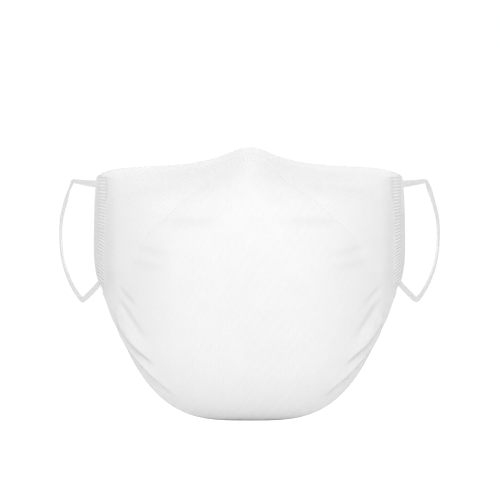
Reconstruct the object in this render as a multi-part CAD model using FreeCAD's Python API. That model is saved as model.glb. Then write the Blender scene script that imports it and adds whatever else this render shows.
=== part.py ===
"""Disposable dust mask, formed as it is worn, in millimetres.

Three plies of nonwoven (cover, filter, lining) share one cup-shaped form. Folded tapes close the side
edges, folded hem strips close the top and chin edges, and a nose wire lies in the top hem. A flat
elastic ear loop is welded to each side edge at an upper and a lower loop end.

Frame: +X to the right of someone who faces the mask, +Y back towards the wearer, +Z up. The origin is
midway between the two side edges, in the plane that they lie in.

Every sheet is laid out on the form with two numbers: across runs from -1 to 1 between the side edges,
and down runs from 0 at the top edge to 1 at the chin edge. Depth is measured inwards from the cover's
outer face.
"""
import FreeCAD
import Part
import math
import os

Vector = FreeCAD.Vector

# Overall sizes of the form
MASK_WIDTH = 149.2              # between the side edges where they are furthest apart
MASK_DEPTH = 57.0               # from the side edges forward to the fullest point
TOP_HEIGHT = 39.0               # of the nose bridge over the origin
CHIN_DROP = 90.5                # of the chin's lowest point under it

# The side edge, from the top corner to the chin corner, as (inset from half the width, height)
SIDE_EDGE = [(1.4, 26.0), (0.4, 15.0), (0.0, 0.0), (0.0, -12.0), (0.8, -20.0), (2.6, -26.0)]
SIDE_EDGE_FAN = 0.35            # how much faster rows start down the side edge than down the centre line

# The centre line of the outer face, from the nose bridge to the chin hem, as (setback from the fullest
# point, share of the height above or below the origin)
CENTRE_LINE = [
    (28.0, 1.0),
    (13.0, 0.68),
    (3.0, 0.31),
    (0.0, -0.066),
    (1.0, -0.343),
    (5.0, -0.641),
    (11.5, -0.862),
    (23.0, -1.0),
    (38.0, -0.961),
]

# The nose ridge that stands out of the form: its rise at the top edge, and its projection forwards
NOSE_RISE = 9.5
NOSE_RISE_WIDTH = 16.0
NOSE_PROJECTION = 10.0
NOSE_PROJECTION_WIDTH = 24.0
NOSE_TIP = 0.24                 # the rise has run out this far down the centre line
NOSE_END = 0.48                 # and the projection this far down

# Exponents of the rows' arch, forwards and downwards, at the top and the chin edge: a larger one has a
# flatter middle and steeper ends. Extra near the top edge rounds the top corners.
TOP_FULLNESS = (2.8, 2.8)
CHIN_FULLNESS = (4.4, 3.5)
CORNER_FULLNESS = (0.6, 9.0)
CORNER_DEPTH = 0.14             # the extra has run out this far down

# Plies and tapes
COVER_THICKNESS = 0.5
FILTER_THICKNESS = 0.4
LINING_THICKNESS = 0.4
TAPE_THICKNESS = 0.4
SHEET_CLEARANCE = 0.2
SIDE_TAPE_WIDTH = 11.0
SIDE_TAPE_INNER_WIDTH = 9.0
TOP_HEM_WIDTH = 5.0
TOP_HEM_INNER_WIDTH = 12.0
CHIN_HEM_WIDTH = 5.0
CHIN_HEM_INNER_WIDTH = 6.0
TOP_HEM_START = SIDE_TAPE_WIDTH + 0.6       # from the corner, along the top edge
CHIN_HEM_START = 4.5                        # from the corner, along the chin edge

# The nose wire in the top hem
WIRE_LENGTH = 96.0
WIRE_WIDTH = 4.0
WIRE_THICKNESS = 0.6
WIRE_INSET = 4.5

# The elastic: its welded ends inside the side tape, as heights on the side edge
BAND_WIDTH = 3.4
BAND_THICKNESS = 0.8
UPPER_END_HEIGHT = 22.2
LOWER_END_HEIGHT = -23.6
LOOP_END_LENGTH = 8.5
LOOP_END_OVERHANG = 2.6         # how far a loop end reaches past the plies' edge
LOOP_END_CLEARANCE = 0.4        # from a loop end to the side tape's inner leg
LOOP_HINGE_GAP = 0.9            # from a loop end to the line that the loop swings about

# The ear loop's route between its ends, in its own plane, as (back from the hinge line, up from the
# line's middle)
LOOP_FLARE = 17.1               # degrees that the resting loops open outwards from straight back
LOOP_ROUTE = [
    (21.0, 25.6),
    (47.5, 27.5),
    (60.0, 21.0),
    (71.5, 10.5),
    (75.0, -3.0),
    (68.5, -15.0),
    (51.5, -25.7),
    (34.5, -31.0),
    (15.0, -29.0),
]
ARC_SHARE = 0.45                # share of the shorter run that an arc of the route may take

# Layout of the interpolated faces
ROW_STATIONS = 37
COLUMN_STATIONS = 33
EDGE_STATIONS = 25
FOLD_SPACING = 1.0              # between the points of a folded strip's section
TURN_ANGLES = (45.0, 0.0, -45.0)
LEG_STATIONS = 4
STATION_SPREAD = 1.1            # radians; bunches the stations of a row or column towards its ends
SLOPE_STEP = 0.002              # change of across or down that a slope is measured over
WALK_STEP = 0.5                 # distance between the slopes of a walk over the form

FILTER_DEPTH = COVER_THICKNESS + SHEET_CLEARANCE
LINING_DEPTH = FILTER_DEPTH + FILTER_THICKNESS + SHEET_CLEARANCE
PLIES_DEPTH = LINING_DEPTH + LINING_THICKNESS
TAPE_DEPTH = PLIES_DEPTH + SHEET_CLEARANCE
WIRE_DEPTH = PLIES_DEPTH + SHEET_CLEARANCE
WIRE_COVER_DEPTH = WIRE_DEPTH + WIRE_THICKNESS + SHEET_CLEARANCE
LOOP_END_DEPTH = TAPE_DEPTH + TAPE_THICKNESS + LOOP_END_CLEARANCE


def spline(points):
    """Smooth curve through the points, with its parameter rescaled to run from 0 to 1."""
    curve = Part.BSplineCurve()
    curve.interpolate(points)
    return lambda share: curve.value(
        curve.FirstParameter + share * (curve.LastParameter - curve.FirstParameter)
    )


side_edge = spline([Vector(0.5 * MASK_WIDTH - inset, 0.0, height) for inset, height in SIDE_EDGE])
centre_line = spline([
    Vector(0.0, setback - MASK_DEPTH, share * (TOP_HEIGHT if share > 0.0 else CHIN_DROP))
    for setback, share in CENTRE_LINE
])


def fade(share):
    """Fall smoothly from 1 at share 0 to 0 at share 1 and beyond."""
    return 0.5 + 0.5 * math.cos(math.pi * min(share, 1.0))


def fullness(down, direction):
    """Exponent of a row's arch, forwards (direction 0) or downwards (direction 1)."""
    growth = CHIN_FULLNESS[direction] - TOP_FULLNESS[direction]
    corner = CORNER_FULLNESS[direction] * fade(down / CORNER_DEPTH)
    return TOP_FULLNESS[direction] + growth * down * down + corner


def ridge(x, side, width):
    """Rounded ridge of height 1 at x = 0 that runs out at the side edges."""
    foot = 1.0 / (1.0 + (side / width) ** 2)
    return (1.0 / (1.0 + (x / width) ** 2) - foot) / (1.0 - foot)


def form_point(across, down):
    """Point on the cover's outer face. Past the top or chin edge, the face runs on straight."""
    if down < 0.0:
        return form_point(across, 0.0) * 2.0 - form_point(across, -down)
    if down > 1.0:
        return form_point(across, 1.0) * 2.0 - form_point(across, 2.0 - down)
    side = side_edge(down * (1.0 + SIDE_EDGE_FAN * (1.0 - down)))
    centre = centre_line(down)
    forward = 1.0 - abs(across) ** fullness(down, 0)
    drop = 1.0 - abs(across) ** fullness(down, 1)
    x = across * side.x
    projection = NOSE_PROJECTION * fade(down / NOSE_END)
    rise = NOSE_RISE * fade(down / NOSE_TIP)
    y = (centre.y + projection) * forward - projection * ridge(x, side.x, NOSE_PROJECTION_WIDTH)
    z = side.z + (centre.z - rise - side.z) * drop + rise * ridge(x, side.x, NOSE_RISE_WIDTH)
    return Vector(x, y, z)


def slopes(across, down):
    """Change of the face's point for a unit of across and for a unit of down."""
    row = form_point(across + SLOPE_STEP, down) - form_point(across - SLOPE_STEP, down)
    column = form_point(across, down + SLOPE_STEP) - form_point(across, down - SLOPE_STEP)
    return row / (2.0 * SLOPE_STEP), column / (2.0 * SLOPE_STEP)


def outward_normal(across, down):
    """Unit normal of the face, away from the wearer."""
    row, column = slopes(across, down)
    return column.cross(row).normalize()


def sheet_point(across, down, depth):
    """Point at a depth behind the outer face."""
    return form_point(across, down) - outward_normal(across, down) * depth


def square_walk(across, down, edge, distances):
    """Places at rising distances inside an edge, walking over the face square to it.

    The edge is "side", "top" or "chin". Returns (across, down) pairs, the first at the edge itself
    if the first distance is 0.
    """
    places = []
    covered = 0.0
    for distance in distances:
        while distance - covered > 1e-9:
            row, column = slopes(across, down)
            if edge == "side":
                turn = (-1.0, row.dot(column) / column.dot(column))
            elif edge == "top":
                turn = (-row.dot(column) / row.dot(row), 1.0)
            else:
                turn = (row.dot(column) / row.dot(row), -1.0)
            length = min(WALK_STEP, distance - covered)
            share = length / (row * turn[0] + column * turn[1]).Length
            across += turn[0] * share
            down += turn[1] * share
            covered += length
        places.append((across, down))
    return places


def edge_frame(across, down, edge):
    """Point on an edge of the plies, the direction out past it, and the outward normal."""
    row, column = slopes(across, down)
    outward = column.cross(row).normalize()
    if edge == "side":
        past = outward.cross(column)
        inward = row * -1.0
    else:
        past = outward.cross(row)
        inward = column if edge == "top" else column * -1.0
    if past.dot(inward) > 0.0:
        past = past * -1.0
    return form_point(across, down), past.normalize(), outward


def across_at(down, distance):
    """Across value at a distance from the right corner, along the row."""
    across = 1.0
    covered = 0.0
    while distance - covered > 1e-9:
        length = min(WALK_STEP, distance - covered)
        across -= length / slopes(across, down)[0].Length
        covered += length
    return across


def down_at_height(height):
    """Down value at which the side edge passes a height."""
    above, below = 0.0, 1.0
    while below - above > 1e-6:
        middle = 0.5 * (above + below)
        if form_point(1.0, middle).z > height:
            above = middle
        else:
            below = middle
    return above


def spaced(first, last, count):
    """Evenly spaced values, both ends included."""
    return [first + (last - first) * i / (count - 1) for i in range(count)]


def bunched(limit, count):
    """Values from -limit to limit, closer together near the ends."""
    widest = math.sin(STATION_SPREAD)
    return [limit * math.sin(STATION_SPREAD * t) / widest for t in spaced(-1.0, 1.0, count)]


def solid_between(front, back):
    """Solid between two facing grids of points, closed by a ruled strip along each border."""
    faces = []
    borders = []
    for grid in (front, back):
        surface = Part.BSplineSurface()
        surface.interpolate(grid)
        faces.append(surface.toShape())
        u_first, u_last, v_first, v_last = surface.bounds()
        borders.append(
            [surface.uIso(u_first), surface.uIso(u_last), surface.vIso(v_first), surface.vIso(v_last)]
        )
    for front_border, back_border in zip(*borders):
        faces.append(Part.makeRuledSurface(front_border.toShape(), back_border.toShape(), 1))
    shell = Part.makeShell(faces)
    shell.sewShape()
    solid = Part.makeSolid(shell)
    if solid.Volume < 0.0:
        solid.reverse()
    return solid


def ply(depth, thickness):
    """One ply over the whole form."""
    grids = [
        [
            [sheet_point(across, 0.5 + half, layer) for half in bunched(0.5, COLUMN_STATIONS)]
            for across in bunched(1.0, ROW_STATIONS)
        ]
        for layer in (depth, depth + thickness)
    ]
    return solid_between(*grids)


def folded_strip(edge, stations, front_width, back_width, back_depth):
    """Strip folded over an edge of the plies, at stations of (across, down) along the edge."""
    turn_depth = 0.5 * (back_depth - SHEET_CLEARANCE)
    turn_radius = 0.5 * (back_depth + SHEET_CLEARANCE)
    front_count = 1 + round(front_width / FOLD_SPACING)
    back_count = 1 + round(back_width / FOLD_SPACING)
    grids = ([], [])
    for across, down in stations:
        point, past, outward = edge_frame(across, down, edge)
        front_leg = square_walk(across, down, edge, spaced(0.0, front_width, front_count))
        back_leg = square_walk(across, down, edge, spaced(0.0, back_width, back_count))
        for grid, skin in zip(grids, (0.0, TAPE_THICKNESS)):
            front = [sheet_point(*place, -SHEET_CLEARANCE - skin) for place in reversed(front_leg)]
            turn = [
                point
                + past * (math.cos(math.radians(angle)) * (turn_radius + skin))
                + outward * (math.sin(math.radians(angle)) * (turn_radius + skin) - turn_depth)
                for angle in TURN_ANGLES
            ]
            back = [sheet_point(*place, back_depth + skin) for place in back_leg]
            grid.append(front + turn + back)
    return solid_between(*grids)


def side_tape():
    """Tape folded over the right side edge."""
    stations = [(1.0, down) for down in spaced(0.0, 1.0, EDGE_STATIONS)]
    return folded_strip("side", stations, SIDE_TAPE_WIDTH, SIDE_TAPE_INNER_WIDTH, TAPE_DEPTH)


def top_hem():
    """Strip folded over the top edge between the side tapes, with room for the nose wire inside."""
    stations = [(across, 0.0) for across in bunched(across_at(0.0, TOP_HEM_START), ROW_STATIONS)]
    return folded_strip("top", stations, TOP_HEM_WIDTH, TOP_HEM_INNER_WIDTH, WIRE_COVER_DEPTH)


def chin_hem():
    """Strip folded over the chin edge between the side tapes."""
    stations = [(across, 1.0) for across in bunched(across_at(1.0, CHIN_HEM_START), ROW_STATIONS)]
    return folded_strip("chin", stations, CHIN_HEM_WIDTH, CHIN_HEM_INNER_WIDTH, TAPE_DEPTH)


def nose_wire():
    """Flat wire between the lining and the top hem's inner leg, bent to the form."""
    half_row = [form_point(across, 0.0) for across in spaced(0.0, 1.0, ROW_STATIONS)]
    row_length = sum((after - before).Length for before, after in zip(half_row, half_row[1:]))
    limit = across_at(0.0, row_length - 0.5 * WIRE_LENGTH)
    widths = spaced(WIRE_INSET, WIRE_INSET + WIRE_WIDTH, LEG_STATIONS)
    strips = [square_walk(across, 0.0, "top", widths) for across in spaced(-limit, limit, ROW_STATIONS)]
    grids = [
        [[sheet_point(*place, depth) for place in strip] for strip in strips]
        for depth in (WIRE_DEPTH, WIRE_DEPTH + WIRE_THICKNESS)
    ]
    return solid_between(*grids)


def loop_end(height):
    """Welded end of the elastic inside the right side tape, and the point that its loop hangs from."""
    middle = down_at_height(height)
    along_edge = slopes(1.0, middle)[1].Length
    depths = (LOOP_END_DEPTH, LOOP_END_DEPTH + BAND_THICKNESS)
    grids = ([], [])
    for width in spaced(-0.5 * BAND_WIDTH, 0.5 * BAND_WIDTH, LEG_STATIONS):
        down = middle - width / along_edge
        point, past, outward = edge_frame(1.0, down, "side")
        line = square_walk(1.0, down, "side", spaced(0.0, LOOP_END_LENGTH, LEG_STATIONS))
        for grid, depth in zip(grids, depths):
            tip = point + past * LOOP_END_OVERHANG - outward * depth
            grid.append([sheet_point(*place, depth) for place in reversed(line)] + [tip])
    point, past, outward = edge_frame(1.0, middle, "side")
    hinge = point + past * (LOOP_END_OVERHANG + LOOP_HINGE_GAP) - outward * 0.5 * sum(depths)
    return solid_between(*grids), hinge


def band_outline(route, half_width):
    """Edges of a flat band along a route of (x, y) points, with its arcs' radii and middle line's length.

    Both ends are cut along the y axis, so that the band can turn about it.
    """
    points = [Vector(x, y, 0.0) for x, y in route]
    runs = [after - before for before, after in zip(points, points[1:])]
    lengths = [run.Length for run in runs]
    headings = [run / run.Length for run in runs]

    stations = [(points[0], headings[0])]
    radii = []
    total = sum(lengths)
    for i in range(1, len(points) - 1):
        reach = ARC_SHARE * min(lengths[i - 1], lengths[i])
        turn = headings[i - 1].getAngle(headings[i])
        radius = reach / math.tan(0.5 * turn)
        inwards = (headings[i] - headings[i - 1]).normalize()
        crown = points[i] + inwards * (radius / math.cos(0.5 * turn) - radius)
        stations.append((points[i] - headings[i - 1] * reach, headings[i - 1]))
        stations.append((crown, (headings[i - 1] + headings[i]).normalize()))
        stations.append((points[i] + headings[i] * reach, headings[i]))
        radii.append(radius)
        total += radius * turn - 2.0 * reach
    stations.append((points[-1], headings[-1]))

    edges = []
    ends = []
    for offset in (half_width, -half_width):
        line = [point + Vector(-heading.y, heading.x, 0.0) * offset for point, heading in stations]
        for end in (0, -1):
            point, heading = stations[end]
            line[end] = point + Vector(0.0, offset / heading.x, 0.0)
        for i in range(0, len(line) - 1, 3):
            edges.append(Part.LineSegment(line[i], line[i + 1]).toShape())
            if i + 3 < len(line):
                edges.append(Part.Arc(line[i + 1], line[i + 2], line[i + 3]).toShape())
        ends.append((line[0], line[-1]))
    edges += [Part.LineSegment(left, right).toShape() for left, right in zip(*ends)]
    return edges, radii, total


def ear_loop(upper, lower):
    """Flat band in the plane through its hinge line, flared outwards from straight back."""
    up = (upper - lower).normalize()
    flare = math.radians(LOOP_FLARE)
    straight = Vector(math.sin(flare), math.cos(flare), 0.0)
    back = (straight - up * straight.dot(up)).normalize()
    half_line = 0.5 * (upper - lower).Length
    route = [(0.0, half_line)] + LOOP_ROUTE + [(0.0, -half_line)]
    edges, radii, length = band_outline(route, 0.5 * BAND_WIDTH)
    face = Part.Face(Part.Wire(Part.__sortEdges__(edges)))
    band = face.extrude(Vector(0.0, 0.0, BAND_THICKNESS))
    band.translate(Vector(0.0, 0.0, -0.5 * BAND_THICKNESS))
    place = FreeCAD.Placement((upper + lower) * 0.5, FreeCAD.Rotation(back, up, back.cross(up), "XYZ"))
    band = band.transformGeometry(place.toMatrix())
    print("ear loop radii:", " ".join(f"{radius:.1f}" for radius in radii))
    print(f"ear loop volume {band.Volume:.1f}, section times length {BAND_WIDTH * BAND_THICKNESS * length:.1f}")
    return band


def mirrored(shape):
    """The same piece on the other side of the mask."""
    return shape.mirror(Vector(0.0, 0.0, 0.0), Vector(1.0, 0.0, 0.0))


def main():
    """Build every piece and write one STEP file for each."""
    upper_end, upper_hinge = loop_end(UPPER_END_HEIGHT)
    lower_end, lower_hinge = loop_end(LOWER_END_HEIGHT)
    print("right hinge line, upper and lower end:", upper_hinge, lower_hinge)
    right_pieces = {
        "edge_tape": side_tape(),
        "upper_loop_end": upper_end,
        "lower_loop_end": lower_end,
        "ear_loop": ear_loop(upper_hinge, lower_hinge),
    }
    nodes = {
        "outer_cover": ply(0.0, COVER_THICKNESS),
        "filter_sheet": ply(FILTER_DEPTH, FILTER_THICKNESS),
        "inner_lining": ply(LINING_DEPTH, LINING_THICKNESS),
        "top_hem": top_hem(),
        "chin_hem": chin_hem(),
        "nose_wire": nose_wire(),
    }
    for name, piece in right_pieces.items():
        nodes["right_" + name] = piece
        nodes["left_" + name] = mirrored(piece)

    os.makedirs("parts", exist_ok=True)
    for name, shape in nodes.items():
        shape.exportStep(f"parts/{name}.step")
        print(f"{name}: valid {shape.isValid()}, solids {len(shape.Solids)}, volume {shape.Volume:.1f} mm3")


if __name__ == "__main__":
    main()
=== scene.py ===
"""Disposable dust mask: the visual model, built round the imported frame.

Three nonwoven plies share one cup-shaped form. Tapes with pressed ribs close the side edges, hem strips
close the top and chin edges, and a nose wire lies in the top hem. A flat elastic ear loop hangs from two
welded ends on each side.

Sizes inside the classes are in millimetres; meshes are written in metres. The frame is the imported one:
+X to the right of someone who faces the mask, +Y back towards the wearer, +Z up.
"""
import logging
import math
from dataclasses import dataclass, field
from enum import Enum
from typing import Any, Callable, Iterable, Optional, Sequence

import bpy
import numpy as np
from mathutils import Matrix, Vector


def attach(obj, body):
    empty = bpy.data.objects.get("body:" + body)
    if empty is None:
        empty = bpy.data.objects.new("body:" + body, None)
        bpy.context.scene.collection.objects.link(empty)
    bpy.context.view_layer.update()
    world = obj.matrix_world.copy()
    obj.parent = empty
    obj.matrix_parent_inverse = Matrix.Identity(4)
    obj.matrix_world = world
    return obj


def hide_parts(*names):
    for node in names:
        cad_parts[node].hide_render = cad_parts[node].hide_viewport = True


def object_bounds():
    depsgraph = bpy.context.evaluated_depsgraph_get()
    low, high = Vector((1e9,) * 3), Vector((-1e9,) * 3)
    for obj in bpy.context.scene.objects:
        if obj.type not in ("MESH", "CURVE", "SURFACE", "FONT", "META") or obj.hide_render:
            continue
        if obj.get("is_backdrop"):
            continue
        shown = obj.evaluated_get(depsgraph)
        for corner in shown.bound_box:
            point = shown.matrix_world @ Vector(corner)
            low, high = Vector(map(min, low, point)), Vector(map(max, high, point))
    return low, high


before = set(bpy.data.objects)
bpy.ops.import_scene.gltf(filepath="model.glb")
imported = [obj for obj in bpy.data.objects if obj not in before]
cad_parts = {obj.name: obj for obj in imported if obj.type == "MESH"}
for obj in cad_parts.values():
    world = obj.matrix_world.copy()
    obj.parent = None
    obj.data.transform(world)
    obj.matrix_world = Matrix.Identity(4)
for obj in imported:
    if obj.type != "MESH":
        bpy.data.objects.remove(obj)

LOG = logging.getLogger("dust_mask")
MM = 0.001
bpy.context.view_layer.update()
Array = np.ndarray


class Side(Enum):
    """The two sides of the mask, as the sign of x."""

    LEFT = -1
    RIGHT = 1

    @property
    def word(self) -> str:
        """The side's name in lower case."""
        return self.name.lower()


class Edge(Enum):
    """The edges of the plies that strips are folded over."""

    SIDE = "side"
    TOP = "top"
    CHIN = "chin"


class Fold(Enum):
    """Cross-sections of a fold in the cloth."""

    VALLEY = "valley"
    RIDGE = "ridge"
    PLEAT = "pleat"


# ----------------------------------------------------------------------------------------------------
# The form that every sheet is laid out on
# ----------------------------------------------------------------------------------------------------


def smoothstep(low: float, high: float, value: Any) -> Any:
    """Rise smoothly from 0 at low to 1 at high."""
    share = np.clip((value - low) / (high - low), 0.0, 1.0)
    return share * share * (3.0 - 2.0 * share)


def unit(vectors: Array) -> Array:
    """Vectors of length 1 in the same directions."""
    return vectors / np.maximum(np.linalg.norm(vectors, axis=-1, keepdims=True), 1e-12)


def runs_along(points: Array) -> Array:
    """Distances along a polyline from its start to each of its points."""
    return np.concatenate([[0.0], np.cumsum(np.linalg.norm(np.diff(points, axis=0), axis=1))])


class SmoothCurve:
    """Cubic spline through points, spaced by the chords between them, with a share from 0 to 1."""

    def __init__(self, points: Sequence[Sequence[float]]) -> None:
        """Solve the spline's slopes.

        Args:
            points: the points that the curve passes through.
        """
        self.points = np.asarray(points, float)
        self.knots = runs_along(self.points)
        chords = np.linalg.norm(np.diff(self.points, axis=0), axis=1)
        count = len(self.points)
        matrix = np.zeros((count, count))
        right = np.zeros_like(self.points)
        matrix[0, 0] = matrix[-1, -1] = 1.0
        right[0] = self._end_slope(self.points[:4], self.knots[:4])
        right[-1] = -self._end_slope(self.points[::-1][:4], self.knots[-1] - self.knots[::-1][:4])
        for i in range(1, count - 1):
            before, after = chords[i - 1], chords[i]
            matrix[i, i - 1 : i + 2] = (after, 2.0 * (before + after), before)
            step_before = (self.points[i] - self.points[i - 1]) / before
            step_after = (self.points[i + 1] - self.points[i]) / after
            right[i] = 3.0 * (after * step_before + before * step_after)
        self.slopes = np.linalg.solve(matrix, right)

    @staticmethod
    def _end_slope(points: Array, knots: Array) -> Array:
        """Slope at the first of four points, of the cubic through them."""
        powers = np.vander(knots - knots[0], len(knots), increasing=True)
        return np.linalg.solve(powers, points)[1]

    def __call__(self, share: Array) -> Array:
        """Points at shares of the curve."""
        place = np.asarray(share, float) * self.knots[-1]
        index = np.clip(np.searchsorted(self.knots, place, side="right") - 1, 0, len(self.knots) - 2)
        span = (self.knots[index + 1] - self.knots[index])[..., None]
        t = (place - self.knots[index])[..., None] / span
        return (
            (1.0 + 2.0 * t) * (1.0 - t) ** 2 * self.points[index]
            + t * (1.0 - t) ** 2 * span * self.slopes[index]
            + t * t * (3.0 - 2.0 * t) * self.points[index + 1]
            + t * t * (t - 1.0) * span * self.slopes[index + 1]
        )


PLEAT_SHADE_WIDTH = 0.75        # reach of the painted shadow under a pleat's lip
VALLEY_SHADE = 0.08             # painted shade at the bottom of a valley, as a share of a pleat's


@dataclass(frozen=True)
class Crease:
    """One fold of the cloth on each side of the mask.

    The line is (x, height) points of the front view for the right-hand side. The left one is its mirror image.
    """

    line: tuple[tuple[float, float], ...]
    fold: Fold
    size: float                     # height of the lip, or depth of the valley
    width: float                    # how far the fold reaches to each side
    sharpness: float = 0.7          # how quickly a pleat steps down, as a distance
    start: float = 0.12             # share of the line over which the fold grows
    end: float = 0.45               # share of the line over which it dies away

    def _distances(self, points: Array, line: Array) -> tuple[Array, Array]:
        """Signed distance of each place from the line, positive inside it, and the fold's strength there."""
        before, run = line[:-1], np.diff(line, axis=0)
        steps = np.linalg.norm(run, axis=1)
        heads = runs_along(line)
        best = np.full(points.shape[0], 1e9)
        signed = np.zeros(points.shape[0])
        share = np.zeros(points.shape[0])
        for i in range(len(run)):
            offset = points - before[i]
            t = np.clip(offset @ run[i] / steps[i] ** 2, 0.0, 1.0)
            gap = offset - t[:, None] * run[i]
            distance = np.linalg.norm(gap, axis=1)
            closer = distance < best
            best = np.where(closer, distance, best)
            inner = gap[:, 0] * run[i, 2] - gap[:, 2] * run[i, 0]
            signed = np.where(closer, np.sign(inner) * distance, signed)
            share = np.where(closer, (heads[i] + t * steps[i]) / heads[-1], share)
        return signed, smoothstep(0.0, self.start, share) * (1.0 - smoothstep(1.0 - self.end, 1.0, share))

    def height(self, points: Array, line: Array) -> Array:
        """Height of the fold over the form.

        Args:
            points: places on the form, with x made positive.
            line: the crease's own line on the form.

        Returns:
            The height at each place.
        """
        signed, strength = self._distances(points, line)
        if self.fold is Fold.PLEAT:
            shape = np.tanh(signed / self.sharpness) * np.exp(-np.abs(signed) / self.width)
        else:
            shape = np.exp(-((signed / self.width) ** 2))
            if self.fold is Fold.VALLEY:
                shape = -shape
        return self.size * strength * shape

    def shadow(self, points: Array, line: Array) -> Array:
        """Painted shadow of the fold, which greys the cloth's colour: narrowly under a pleat's lip, faintly in a
        valley.

        Args:
            points: places on the form, with x made positive.
            line: the crease's own line on the form.

        Returns:
            The painted shadow at each place, from 0 to 1.
        """
        signed, strength = self._distances(points, line)
        if self.fold is Fold.PLEAT:
            return strength * np.exp(-(((signed + 0.5 * self.sharpness) / PLEAT_SHADE_WIDTH) ** 2))
        if self.fold is Fold.VALLEY:
            return VALLEY_SHADE * strength * np.exp(-((signed / self.width) ** 2))
        return np.zeros(points.shape[0])


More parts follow.
